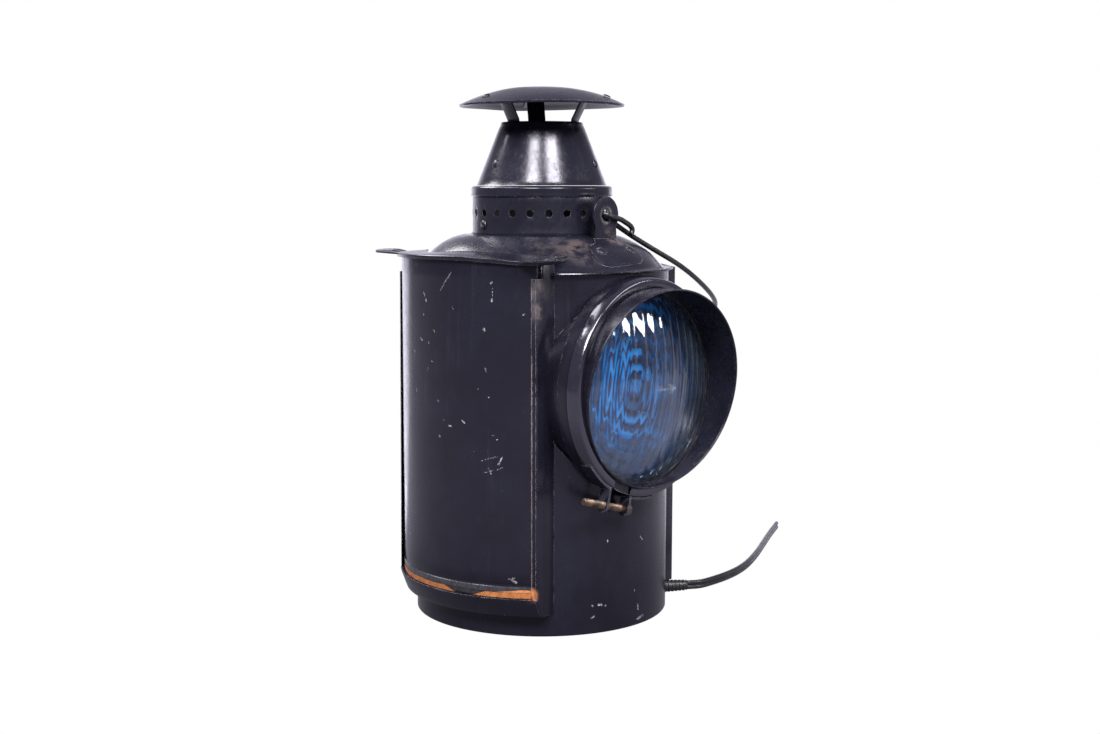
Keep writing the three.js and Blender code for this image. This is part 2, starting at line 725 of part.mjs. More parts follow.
function roofHeightAt(radius) {
  const curve = roofCurve(0);
  const next = curve.findIndex(([r]) => r <= radius);
  const [outerRadius, outerHeight] = curve[next - 1];
  const [innerRadius, innerHeight] = curve[next];
  const slope = (innerHeight - outerHeight) / (outerRadius - innerRadius);
  return { height: outerHeight + slope * (outerRadius - radius), slope };
}
const lugFaceGap = 2 * seatGap + lugFootThickness;
const nearRivet = lugFootShift - lugRivetSpread;
const farRivet = lugFootShift + lugRivetSpread;
for (const [name, x, y] of [
  ["lug_rivet_front_left", nearRivet, -lugRivetOffset], ["lug_rivet_front_right", farRivet, -lugRivetOffset],
  ["lug_rivet_rear_left", farRivet, lugRivetOffset], ["lug_rivet_rear_right", nearRivet, lugRivetOffset],
]) {
  const radius = Math.hypot(x, y);
  const { height, slope } = roofHeightAt(radius);
  const angle = THREE.MathUtils.radToDeg(Math.atan2(y, x));
  const seat = outwardGroup(angle, radius, height + lugFaceGap + seatGap, Math.PI / 2 - Math.atan(slope));
  add(name, rivetHead(), wornPaint, seat);
}

// Bail: one wire, hooked through both eyes and bent round in a bow
class Route extends THREE.CatmullRomCurve3 {
  getUtoTmapping(u) {
    return u;
  }
}
function section(width, height, sides) {
  const points = Array.from({ length: sides }, (_, i) => {
    const angle = (fullTurn * (i + 0.5)) / sides;
    return new THREE.Vector2((width / 2) * Math.cos(angle), (height / 2) * Math.sin(angle));
  });
  return new THREE.Shape(points);
}
function wire(points, diameter, sides) {
  const path = new Route(points, false, "centripetal");
  const settings = { steps: points.length - 1, bevelEnabled: false, extrudePath: path };
  return new THREE.ExtrudeGeometry(section(diameter, diameter, sides), settings);
}
const strandOffset = lugThickness / 2 + bailWire / 2 + slideGap;
const bailHalfWidth = capRadius + bailWire / 2 + bailCapGap;
const bowCentre = bailReach - bailBow;
const hookCentre = strandOffset - (lugHoleRadius - bailWire / 2 - slideGap);
function bailEnd(lugOffset) {
  const tailOffset = lugOffset + strandOffset;
  const hook = arcPoints(hookCentre, lugOffset, strandOffset, Math.PI / 2, (3 * Math.PI) / 2, 8)
    .map(([x, y]) => [x, y, 0]);
  const tail = [
    [bailTail - bailWire / 6, tailOffset, -bailTailDrop], [bailTail, tailOffset, 0],
    [bailTail - bailWire / 3, tailOffset, (bailTailLift * 2) / 3],
    [bailTail - bailWire, tailOffset, bailTailLift],
    [(bailTail * 2) / 3, tailOffset, bailTailLift], [bailTail / 2, tailOffset, bailTailLift],
    [bailTail / 3, tailOffset, (bailTailLift * 2) / 3], [bailTail / 6, tailOffset, bailTailLift / 4],
  ];
  return [...tail, ...hook];
}
function bailSide(lugOffset) {
  const root = lugOffset - strandOffset;
  const leg = [0.1, 0.2, 0.32, 0.44, 0.56, 0.68, 0.8, 0.9].map((legShare) => {
    const place = hookCentre + (bowCentre - hookCentre) * legShare;
    const share = Math.min(1, Math.max(0, (place - bailFlareStart) / (bailFlareEnd - bailFlareStart)));
    return [place, root + (bailHalfWidth - root) * share * share * (3 - 2 * share), 0];
  });
  return [...bailEnd(lugOffset), ...leg];
}
function bailPoints() {
  const bow = arcPoints(0, 0, 1, -Math.PI / 2, Math.PI / 2, 28)
    .map(([x, y]) => [bowCentre + bailBow * x, bailHalfWidth * y, 0]);
  const front = bailSide(frontLugOffset).map(([x, y, z]) => [x, -y, z]);
  const rear = bailSide(rearLugOffset).reverse();
  return [...front, ...bow, ...rear].map(([x, y, z]) => new THREE.Vector3(x, y, z));
}
const bail = add("bail", wire(bailPoints(), bailWire, 8), wireSteel);
bail.position.set(0, 0, bailHeight);
const bailEdge = acrossAt(brimRadius, bailHalfWidth - bailWire / 2);
const bailDrop = bailHeight - brimBottom - brimLipHeight;
const bailSlope = Math.atan2(bailDrop, bailEdge);
bail.rotation.y = bailSlope - Math.asin((bailWire / 2 + bailBrimGap) / Math.hypot(bailEdge, bailDrop));

// Lens housing: in this group Z runs out along the lens axis
const lensHouse = new THREE.Group();
lensHouse.position.set(0, 0, lensHeight);
lensHouse.rotation.x = Math.PI / 2;
lamp.add(lensHouse);

// Cylinders round the lamp's upright axis, as the lens group sees them
function uprightInLens(radius) {
  return disc(radius, -lensHeight - cutRun, lensHeight + cutRun, bodySides).rotateX(-Math.PI / 2);
}
const barrelInner = barrelRadius - barrelWall;
const lensBore = lensRadius + seatGap;
const bayEdge = seatGap - acrossAt(bayBack, bayHalfWidth);
const bayInLens = box(-bodyRadius, bayEdge, -lensHeight, lensHeight, 0, bayHalfWidth + seatGap);
const barrelTube = cut(
  tube(barrelRadius, barrelInner, barrelBack, lensSeat),
  uprightInLens(bodyInner - bodyWall / 2),
  bayInLens,
);
const shoulderRing = [
  [shoulderOuterRadius, shoulderBack], [shoulderOuterRadius, shoulderFront], [lensBore, shoulderFront],
  [lensBore, lensSeat], [ledgeInnerRadius, lensSeat], [ledgeInnerRadius, lensSeat - ledgeThickness],
  [barrelInner, lensSeat - ledgeThickness], [barrelInner, shoulderBack],
];
const shoulderPart = cut(turnedRing(shoulderRing), uprightInLens(bodyRadius + seatGap));
add("lens_barrel", join(barrelTube, shoulderPart), blackPaint, lensHouse);

// Gasket, clear lens and the ring that keeps it in
const gasketFront = lensSeat + seatGap + gasketThickness;
const gasketInner = lensRadius - gasketWidth;
add("lens_gasket", tube(lensRadius, gasketInner, lensSeat + seatGap, gasketFront), rubber, lensHouse);

const lensBack = gasketFront + seatGap;
const lensFace = lensBack + lensRimThickness;
const lensSteps = 6;
function bulge(radius, base, height) {
  const share = radius / lensBulgeRadius;
  return base + height * (1 - share * share);
}
const lensFront = Array.from({ length: lensSteps + 1 }, (_, i) => {
  const radius = (lensBulgeRadius * (lensSteps - i)) / lensSteps;
  return [radius, bulge(radius, lensFace, lensBulge)];
});
const lensHollowOutline = lensFront
  .map(([radius]) => [radius * (gasketInner / lensBulgeRadius), bulge(radius, lensBack, lensHollow)])
  .reverse();
const lensOutline = [...lensHollowOutline, [lensRadius, lensBack], [lensRadius, lensFace], ...lensFront];
add("outer_lens", turned(lensOutline), clearGlass, lensHouse);

const ringBack = lensFace + seatGap;
const ringFront = ringBack + retainingRingThickness;
const retainingRing = tube(hoodRadius + hoodWall, lensBulgeRadius + seatGap, ringBack, ringFront);
add("lens_retaining_ring", retainingRing, blackPaint, lensHouse);

// Hood with a rear flange and a rolled, slanting front edge
const hoodBack = ringFront + seatGap;
const bandInner = bandRadius - bandWall;
const hoodLong = hoodFront + hoodRadius / 2;
const hoodBody = join(
  tube(hoodRadius, hoodRadius - hoodWall, hoodBack, hoodLong),
  tube(bandInner - slideGap, hoodRadius - hoodWall, hoodBack, hoodBack + hoodFlangeThickness),
);
function pastHoodFront(offset) {
  return disc(2 * hoodRadius, offset, offset + 2 * hoodRadius)
    .rotateY(-radians(hoodTiltSide))
    .rotateX(radians(hoodTiltDown))
    .translate(0, 0, hoodFront);
}
const hoodEdgeInner = hoodRadius - hoodWall - hoodEdgeWidth / 2;
const hoodEdge = overlap(
  tube(hoodRadius + hoodEdgeWidth / 2, hoodEdgeInner, hoodBack + cutRun, hoodLong),
  pastHoodFront(-hoodEdgeLength),
);
const hood = cut(join(hoodBody, hoodEdge), pastHoodFront(0));
add("lens_hood", hood, blackPaint, lensHouse);

// Clamp band, with the two lugs that its screw draws together
const clampFrame = new THREE.Group();
clampFrame.rotation.z = -radians(clampAngle);
lensHouse.add(clampFrame);
const bandLipBack = hoodBack + hoodFlangeThickness + seatGap;
const bandFront = bandLipBack + bandWall;
const bandOutline = [
  [bandRadius, bandBack], [bandRadius, bandFront], [hoodRadius + slideGap, bandFront],
  [hoodRadius + slideGap, bandLipBack], [bandInner, bandLipBack], [bandInner, bandBack],
];
const clampMiddle = (bandBack + bandFront) / 2;
const lugBack = clampMiddle - clampLugWidth / 2;
const lugFront = clampMiddle + clampLugWidth / 2;
function clampLug(place) {
  const root = -acrossAt(bandRadius - bandWall / 2, place);
  const plate = box(place, place + clampLugThickness, -clampLugReach, root, lugBack, lugFront);
  return cut(plate, clampBore(place));
}
function clampBore(place) {
  return disc(clampScrewRadius + slideGap, place - cutRun, place + clampLugThickness + cutRun, smallSides)
    .rotateY(Math.PI / 2)
    .translate(0, -clampDrop, clampMiddle);
}
function clampStrap(start, end) {
  const strap = tube(bandRadius + clampStrapThickness, bandInner + bandWall / 2, lugBack, lugFront);
  return overlap(strap, box(start, end, -clampLugReach, 0, lugBack - cutRun, lugFront + cutRun));
}
const gapStart = leftLugPlace + clampLugThickness + clampGapMargin;
const gapEnd = rightLugPlace - clampGapMargin;
const bandGap = box(gapStart, gapEnd, -clampLugReach, 0, bandBack - cutRun, bandFront + cutRun);
const band = join(
  cut(turnedRing(bandOutline), bandGap),
  clampLug(leftLugPlace), clampLug(rightLugPlace),
  clampStrap(leftLugPlace - clampStrapLength, leftLugPlace + clampLugThickness),
  clampStrap(rightLugPlace, rightLugPlace + clampStrapLength),
);
add("clamp_band", band, wornPaint, clampFrame);

// Clamp screw with a cheese head against the right lug
const headStart = rightLugPlace + clampLugThickness + seatGap;
const shank = disc(clampScrewRadius, clampScrewStart, headStart + clampHeadLength / 2, smallSides);
const head = disc(clampHeadRadius, headStart, headStart + clampHeadLength, smallSides);
const headSlot = box(
  -clampHeadRadius - cutRun, clampHeadRadius + cutRun, -screwSlotWidth / 2, screwSlotWidth / 2,
  headStart + clampHeadLength - screwSlotDepth, headStart + clampHeadLength + cutRun,
);
const clampScrew = cut(join(shank, head), headSlot)
  .rotateY(Math.PI / 2)
  .translate(0, -clampDrop, clampMiddle);
add("clamp_screw", clampScrew, bronze, clampFrame);

// Blue colour lens with stepped rings, in its holder behind the clear lens
const colourBack = colourLensBack + holderWall + seatGap;
const colourFace = colourBack + colourLensThickness;
const ringWidth = colourLensRadius / (colourLensRings + 1);
const stepped = Array.from({ length: colourLensRings }, (_, i) => {
  const outer = colourLensRadius - ringWidth * (i + 1 / 2);
  return [[outer, colourFace], [outer - ringWidth, colourFace + colourLensStep]];
}).flat();
const colourOutline = [
  [0, colourBack], [colourLensRadius, colourBack], [colourLensRadius, colourFace],
  ...stepped, [0, colourFace + colourLensStep],
];
add("colour_lens", turned(colourOutline), blueGlass, lensHouse);
const holderOuter = barrelInner - seatGap;
const holderInner = colourLensRadius + seatGap;
const holderFront = lensSeat - ledgeThickness - seatGap;
const holderOutline = [
  [holderInner - holderLip, colourLensBack], [holderInner + holderWall, colourLensBack],
  [holderInner + holderWall, holderFront - holderWall], [holderOuter, holderFront - holderWall],
  [holderOuter, holderFront], [holderInner, holderFront], [holderInner, colourLensBack + holderWall],
  [holderInner - holderLip, colourLensBack + holderWall],
];
add("colour_lens_holder", turnedRing(holderOutline), plainSteel, lensHouse);

// Mast socket: a tall flat pocket, open at the bottom
const socketBack = bodyRadius + seatGap;
const socketOutline = [
  [acrossAt(socketBack, socketHalfWidth), -socketHalfWidth],
  [socketFace, -socketHalfWidth], [socketFace, socketHalfWidth],
  [acrossAt(socketBack, socketHalfWidth), socketHalfWidth],
  [acrossAt(socketBack, socketHalfWidth - socketWall), socketHalfWidth - socketWall],
  [socketFace - socketWall, socketHalfWidth - socketWall],
  [socketFace - socketWall, -socketHalfWidth + socketWall],
  [acrossAt(socketBack, socketHalfWidth - socketWall), -socketHalfWidth + socketWall],
];
const socketLid = cut(
  box(bodyRadius / 2, socketFace - socketWall / 2, -socketHalfWidth + socketWall / 2,
    socketHalfWidth - socketWall / 2, socketTop - socketWall, socketTop),
  disc(socketBack, 0, bayTop, bodySides),
);
add("mast_socket", join(prism(socketOutline, socketBottom, socketTop), socketLid), blackPaint);

// Bulb holder on its bracket, in the middle of the lamp
const bracketFoot = panThickness + seatGap;
const bracketTop = bracketFoot + bracketHeight;
const bracketOutline = [
  [-holderRadius - bracketFootLength, bracketFoot], [-holderRadius, bracketFoot],
  [-holderRadius, bracketTop - bracketThickness],
  [-holderRadius + bracketShelfLength, bracketTop - bracketThickness],
  [-holderRadius + bracketShelfLength, bracketTop], [-holderRadius - bracketThickness, bracketTop],
  [-holderRadius - bracketThickness, bracketFoot + bracketThickness],
  [-holderRadius - bracketFootLength, bracketFoot + bracketThickness],
];
const bracket = prism(bracketOutline, -bracketWidth / 2, bracketWidth / 2)
  .rotateX(Math.PI / 2)
  .rotateZ(Math.PI / 2);
const leadBore = leadRadius + slideGap;
const leadHole = disc(leadBore, bracketTop - bracketThickness - cutRun, bracketTop + cutRun, smallSides);
add("holder_bracket", cut(bracket, leadHole), plainSteel);

const holderFoot = bracketTop + seatGap;
const holderTop = holderFoot + holderHeight;
const holderBore = capTubeRadius + slideGap;
const lampHolderOutline = [
  [leadBore, holderFoot], [holderRadius, holderFoot], [holderRadius, holderTop],
  [holderBore, holderTop], [holderBore, holderFoot + holderFloor], [leadBore, holderFoot + holderFloor],
];
add("lamp_holder", turnedRing(lampHolderOutline, smallSides * 2), phenolic);

const tubeFoot = holderFoot + holderFloor + seatGap;
const tubeTop = tubeFoot + capTubeHeight;
add("bulb_cap", disc(capTubeRadius, tubeFoot, tubeTop, smallSides * 2), bronze);

const bulbFoot = tubeTop + seatGap;
const bulbCentre = bulbFoot + bulbHeight - bulbRadius;
const bulbCrown = arcPoints(0, bulbCentre, bulbRadius, -Math.PI / 5, Math.PI / 2, 9).slice(0, -1);
const bulbOutline = [
  [0, bulbFoot], [capTubeRadius, bulbFoot], [bulbNeckRadius, bulbFoot + bulbNeckRadius / 2],
  ...bulbCrown, [0, bulbCentre + bulbRadius],
];
add("bulb_glass", turned(bulbOutline, smallSides * 2), bulbGlass);

// Grommet with a tapered relief, set in the wall
const grommet = outwardGroup(grommetAngle, 0, grommetHeight);
const flangeIn = bodyInner - 2 * seatGap;
const flangeOut = bodyRadius + seatGap;
const grommetOutline = [
  [0, flangeIn - grommetFlangeThickness], [grommetFlangeRadius, flangeIn - grommetFlangeThickness],
  [grommetFlangeRadius, flangeIn], [grommetNeckRadius, flangeIn], [grommetNeckRadius, flangeOut],
  [grommetFlangeRadius, flangeOut], [grommetFlangeRadius - weld, flangeOut + grommetFlangeThickness / 2],
  [grommetNeckRadius, flangeOut + grommetFlangeThickness],
  [reliefTipRadius, flangeOut + reliefLength], [0, flangeOut + reliefLength],
];
add("cord_grommet", turned(grommetOutline, smallSides), rubber, grommet);

// Inner lead, from the grommet over the pan and up through the shelf into the bulb holder
const leadStart = flangeIn - grommetFlangeThickness - 2 * seatGap;
const grommetTurn = radians(grommetAngle);
const leadFloor = panThickness + seatGap + leadRadius;
const leadShares = [1, 0.96, 0.9, 0.8, 0.66, 0.5, 0.34, 0.2, 0.09, 0.03];
const leadSag = leadShares.map((share, i) => {
  const height = leadFloor + (grommetHeight - leadFloor) * Math.min(1, Math.max(0, 1 - (i - 1) / 3));
  return new THREE.Vector3(
    leadStart * share * Math.cos(grommetTurn), leadStart * share * Math.sin(grommetTurn), height,
  );
});
const leadTurn = 3 * leadRadius;
const leadRise = [
  [0, leadFloor + leadTurn], [0, bracketTop / 4], [0, bracketTop / 2], [0, (bracketTop * 3) / 4],
  [0, bracketTop - leadTurn], [0, bracketTop], [0, holderFoot + holderFloor],
].map(([x, z]) => new THREE.Vector3(x, 0, z));
add("internal_lead", wire([...leadSag, ...leadRise], 2 * leadRadius, 8), rubber);

// Free cord, standing on edge along the ground from the relief to its cut end
const reliefTip = flangeOut + reliefLength + seatGap;
const reliefPlace = [reliefTip * Math.cos(grommetTurn), reliefTip * Math.sin(grommetTurn)];
const cordRoute = [
  [0, 0, 6.6], [3.7, -2.23, 6.5], [7.7, -3.83, 6.3], [12.6, -4.53, 6], [18.6, -4.43, 5.7],
  [30.5, -3.43, 5.2], [43.1, -2.03, 4.8], [57.1, 0.37, 4.4], [71.5, 3.87, 4], [86.5, 8.57, 3.8],
  [101.5, 14.17, 3.8], [118.1, 21.47, 3.7], [136.7, 30.17, 3.7], [157.1, 40.37, 3.7],
  [179.1, 51.47, 3.7], [201.1, 62.37, 3.7], [231, 76.6, 3.7],
].map(([x, y, z]) => new THREE.Vector3(reliefPlace[0] + x, reliefPlace[1] + y, z));
add("power_cord", wire(cordRoute, cordWidth - 2 * seatGap, 8), rubber);

export default lamp;
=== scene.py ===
import math

import bpy
from mathutils import Matrix, Vector, noise


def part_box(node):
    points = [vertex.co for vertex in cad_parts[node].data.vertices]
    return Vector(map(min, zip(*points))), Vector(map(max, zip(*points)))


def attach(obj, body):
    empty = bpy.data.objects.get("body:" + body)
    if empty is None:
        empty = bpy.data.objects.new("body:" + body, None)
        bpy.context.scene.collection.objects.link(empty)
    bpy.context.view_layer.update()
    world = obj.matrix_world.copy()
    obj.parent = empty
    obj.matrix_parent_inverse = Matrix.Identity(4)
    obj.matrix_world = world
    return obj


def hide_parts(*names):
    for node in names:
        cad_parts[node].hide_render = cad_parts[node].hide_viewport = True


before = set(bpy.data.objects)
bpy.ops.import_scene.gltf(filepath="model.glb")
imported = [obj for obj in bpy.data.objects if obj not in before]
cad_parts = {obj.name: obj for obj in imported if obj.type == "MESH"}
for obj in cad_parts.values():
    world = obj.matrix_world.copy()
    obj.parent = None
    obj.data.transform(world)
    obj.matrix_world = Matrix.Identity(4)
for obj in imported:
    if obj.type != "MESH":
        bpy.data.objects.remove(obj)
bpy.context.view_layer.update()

# A railway semaphore lamp in black enamelled sheet, with a hooded lens, a sliding door, a vented
# chimney, a wire bail and a mast socket. Metres, +Z up. The lens looks along -Y, the door faces -X
# and the mast socket faces +X. Outlines below are in millimetres.

bl_info = {
    "name": "Semaphore Lamp",
    "version": (1, 0, 0),
    "blender": (4, 5, 0),
    "location": "3D View > Sidebar > Semaphore Lamp",
    "description": "Dresses the packed lamp with enamelled sheet, glass, wire and a flex",
    "category": "Add Mesh",
}

MM = 0.001
FULL = 2 * math.pi
METRES = {"subtype": "DISTANCE", "unit": "LENGTH"}
LENS_Z = 171.3
LENS_LEAN = math.radians(8)
GLASS_EDGE = 66.4
BODY_R, BODY_TOP = 93.0, 250.4
CORD_TURN, CORD_Z = math.radians(-36), 6.6
BAIL_LIFT, BAIL_ANGLE, BAIL_HALF = 290.4, 25.21, 63.9


class LampSizes(bpy.types.PropertyGroup):
    """Sizes that the pieces are shaped to."""
    lens_height: bpy.props.FloatProperty(
        name="Lens height", description="Height of the lens axis",
        default=sum(corner.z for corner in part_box("outer_lens")) / 2, **METRES)
    flute_count: bpy.props.IntProperty(
        name="Lens flutes", description="Upright flutes across the clear lens", default=14, min=5, max=30)
    edge_round: bpy.props.FloatProperty(
        name="Edge rounding", description="Rounding of the cut sheet edges", default=0.0002, **METRES)


class LampFinishes(bpy.types.PropertyGroup):
    """Colours of the finishes."""
    enamel: bpy.props.FloatVectorProperty(
        name="Enamel", description="Black enamel with a blue cast", subtype="COLOR",
        default=(0.0046, 0.0044, 0.0082))
    bare_metal: bpy.props.FloatVectorProperty(
        name="Bare metal", description="Scratches and chips", subtype="COLOR", default=(0.42, 0.40, 0.42))
    rubbed: bpy.props.FloatVectorProperty(
        name="Rubbed metal", description="Brownish metal where hands and weather wore the enamel",
        subtype="COLOR", default=(0.105, 0.083, 0.080))
    primer: bpy.props.FloatVectorProperty(
        name="Primer", description="Orange primer at the foot of the door", subtype="COLOR",
        default=(0.52, 0.19, 0.065))
    # Painted glow: the bright blue that the colour lens shows only where its arcs are painted as lit.
    blue_glass: bpy.props.FloatVectorProperty(
        name="Blue glass", description="Colour lens", subtype="COLOR", default=(0.002, 0.50, 1.0))
    screw_metal: bpy.props.FloatVectorProperty(
        name="Screw metal", description="Worn clamp screw", subtype="COLOR", default=(0.27, 0.19, 0.14))


# Shaping

def to_object_mode():
    if bpy.context.mode != "OBJECT":
        bpy.ops.object.mode_set(mode="OBJECT")
    bpy.ops.object.select_all(action="DESELECT")


def pick(piece):
    to_object_mode()
    piece.select_set(True)
    bpy.context.view_layer.objects.active = piece


def edit(piece):
    pick(piece)
    bpy.ops.object.mode_set(mode="EDIT")
    bpy.ops.mesh.select_all(action="SELECT")


def fresh(name):
    """The object that was just made, under its name."""
    piece = bpy.context.object
    piece.name = piece.data.name = name
    return piece


def single_point(name):
    to_object_mode()
    bpy.ops.mesh.primitive_plane_add(size=MM)
    piece = fresh(name)
    bpy.ops.object.mode_set(mode="EDIT")
    bpy.ops.mesh.select_all(action="SELECT")
    bpy.ops.mesh.merge(type="CENTER")
    return piece


def trace(points):
    """Extrude the single point along a chain of places, and leave the chain selected."""
    bpy.ops.transform.translate(value=points[0])
    for here, there in zip(points, points[1:]):
        step = [b - a for a, b in zip(here, there)]
        bpy.ops.mesh.extrude_region_move(TRANSFORM_OT_translate={"value": step})
    bpy.ops.mesh.select_all(action="SELECT")


def heal():
    """Close up the piece in hand, turn its faces outward and leave edit mode."""
    bpy.ops.mesh.select_all(action="SELECT")
    bpy.ops.mesh.remove_doubles(threshold=2e-6)
    bpy.ops.mesh.normals_make_consistent(inside=False)
    to_object_mode()


def turned(name, outline, steps=128, closed=True, lens=False, start=0.0, sweep=FULL):
    """Spin an outline of (radius, height) round the lamp, or of (radius, reach) round the lens' axis."""
    piece = single_point(name)
    if lens:
        centre, axis = Vector((0, 0, sizes().lens_height)), Vector((0, -1, 0))
        side = Vector((math.cos(start), 0, math.sin(start)))
    else:
        centre, axis = Vector((0, 0, 0)), Vector((0, 0, 1))
        side = Vector((math.cos(start), math.sin(start), 0))
    trace([centre + side * radius * MM + axis * along * MM for radius, along in outline])
    if closed:
        bpy.ops.mesh.edge_face_add()
        if sweep >= FULL:
            bpy.ops.mesh.delete(type="ONLY_FACE")
            bpy.ops.mesh.select_all(action="SELECT")
    bpy.ops.mesh.spin(steps=steps, angle=-sweep, center=centre, axis=axis, use_auto_merge=sweep >= FULL)
    heal()
    return piece


def plate(name, outline, low, high, across=2):
    """A flat outline in the two axes other than across, given its thickness along across."""
    piece = single_point(name)
    places = [[u * MM, v * MM] for u, v in outline]
    for place in places:
        place.insert(across, low * MM)
    trace(places)
    bpy.ops.mesh.edge_face_add()
    lift = [0.0, 0.0, 0.0]
    lift[across] = (high - low) * MM
    bpy.ops.mesh.extrude_region_move(TRANSFORM_OT_translate={"value": lift})
    heal()
    return piece


def block(name, low, high):
    """A box between two corners."""
    to_object_mode()
    middle = [(a + b) / 2 * MM for a, b in zip(low, high)]
    bpy.ops.mesh.primitive_cube_add(size=1, location=middle)
    piece = fresh(name)
    piece.scale = [(b - a) * MM for a, b in zip(low, high)]
    bpy.ops.object.transform_apply(location=True, rotation=True, scale=True)
    return piece


def round_bar(name, radius, start, end, sides=32):
    """A straight round bar between two places."""
    to_object_mode()
    a, b = Vector(start) * MM, Vector(end) * MM
    turn = (b - a).to_track_quat("Z", "Y").to_euler()
    bpy.ops.mesh.primitive_cylinder_add(
        vertices=sides, radius=radius * MM, depth=(b - a).length, location=(a + b) / 2, rotation=turn)
    piece = fresh(name)
    bpy.ops.object.transform_apply(location=True, rotation=True, scale=True)
    return piece


def hollow(radius, low, high, sides=192):
    """An upright round bar in the lamp's middle, to cut with."""
    return round_bar("hollow", radius, (0, 0, low), (0, 0, high), sides)


def trim(piece, place, normal):
    """Cut away what lies past a plane, and close the cut."""
    edit(piece)
    bpy.ops.mesh.bisect(
        plane_co=[v * MM for v in place], plane_no=normal, use_fill=True, clear_outer=True, threshold=1e-7)
    heal()


def carve(piece, cutter, operation="DIFFERENCE"):
    """Cut a piece with another, which is used up."""
    pick(piece)
    change = piece.modifiers.new("carve", "BOOLEAN")
    change.object, change.operation, change.solver = cutter, operation, "EXACT"
    bpy.ops.object.modifier_apply(modifier=change.name)
    bpy.data.meshes.remove(cutter.data)
    return piece


def merged(name, *pieces):
    """Join pieces that overlap or touch into one object."""
    pick(pieces[0])
    for other in pieces[1:]:
        other.select_set(True)
    bpy.ops.object.join()
    pieces[0].name = pieces[0].data.name = name
    return pieces[0]


def mirrored(piece):
    """Turn a piece of one side over to the other side of the lamp."""
    piece.data.transform(Matrix.Scale(-1, 4, (0, 1, 0)))
    piece.data.flip_normals()


def soften(piece, share=1.0, segments=2, angle=35):
    """Round the cut edges by a share of the edge rounding."""
    pick(piece)
    change = piece.modifiers.new("round", "BEVEL")
    change.width = sizes().edge_round * share
    change.segments, change.limit_method, change.angle_limit = segments, "ANGLE", math.radians(angle)
    change.use_clamp_overlap = True
    bpy.ops.object.modifier_apply(modifier=change.name)


def smooth(piece, angle):
    pick(piece)
    bpy.ops.object.shade_smooth_by_angle(angle=math.radians(angle))


def shift(piece, move):
    """Move every point of a piece by a function of its place."""
    for point in piece.data.vertices:
        point.co += move(point.co)
    piece.data.update()


def uneven(piece, depth, spread, keep):
    """Beaten sheet: points move in and out from the lamp's axis by a smooth noise."""
    def move(place):
        out = Vector((place.x, place.y, 0)).normalized()
        probe = Vector((out.x, out.y, place.z / 0.09)) * (0.09 / spread)
        return out * noise.noise(probe) * depth * keep(place)
    shift(piece, move)


def wire(name, points, radius, sides=4):
    """A bent round wire through the points."""
    to_object_mode()
    bpy.ops.curve.primitive_nurbs_path_add()
    path = fresh(name)
    path.data.splines.clear()
    run = path.data.splines.new("POLY")
    run.points.add(len(points) - 1)
    for spot, place in zip(run.points, points):
        spot.co = (*[v * MM for v in place], 1)
    path.data.bevel_depth, path.data.bevel_resolution = radius * MM, sides
    path.data.use_fill_caps = True
    pick(path)
    bpy.ops.object.convert(target="MESH")
    piece = bpy.context.object
    edit(piece)
    heal()
    return piece


# Places and numbers

def ramp(value, start, end):
    """0 at the start, 1 at the end and an even slope between them."""
    return min(1.0, max(0.0, (value - start) / (end - start)))


def along(knots, value):
    """A smooth value between knots of (place, value), in rising order of place."""
    if value <= knots[0][0]:
        return knots[0][1]
    for (a, low), (b, high) in zip(knots, knots[1:]):
        if value <= b:
            share = (value - a) / (b - a)
            return low + (high - low) * share * share * (3 - 2 * share)
    return knots[-1][1]


def lifted(height):
    return Vector((0, 0, height))


def ring_at(angle, radius=1.0, height=0.0):
    """The place at an angle round the lamp's axis."""
    return Vector((radius * math.cos(angle), radius * math.sin(angle), height))


def hump(place, middle, reach):
    """1 at an angle round the lamp, and 0 from a reach to either side of it. Angles in degrees."""
    turn = math.degrees(math.atan2(place.y, place.x)) - middle
    return math.cos(math.radians(min(90.0, abs((turn + 180) % 360 - 180) * 90 / reach))) ** 2


def oblong(near, far, low, high):
    """The outline of a straight section, as pairs."""
    return [(near, low), (far, low), (far, high), (near, high)]


def arc(centre, radius, start, end, steps):
    """Places on an arc, as pairs. Angles in degrees."""
    angles = [math.radians(start + (end - start) * i / steps) for i in range(steps + 1)]
    return [(centre[0] + radius * math.cos(a), centre[1] + radius * math.sin(a)) for a in angles]


def sizes():
    return bpy.context.scene.lamp_sizes


def finishes():
    return bpy.context.scene.lamp_finishes


def keep_piece(piece, finish, node, body="lamp", angle=32):
    """Shade a finished piece, give it material and body, and let it stand for its CAD node."""
    if angle:
        smooth(piece, angle)
    piece.data.materials.clear()
    piece.data.materials.append(finish)
    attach(piece, body)
    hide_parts(node)


# Finishes

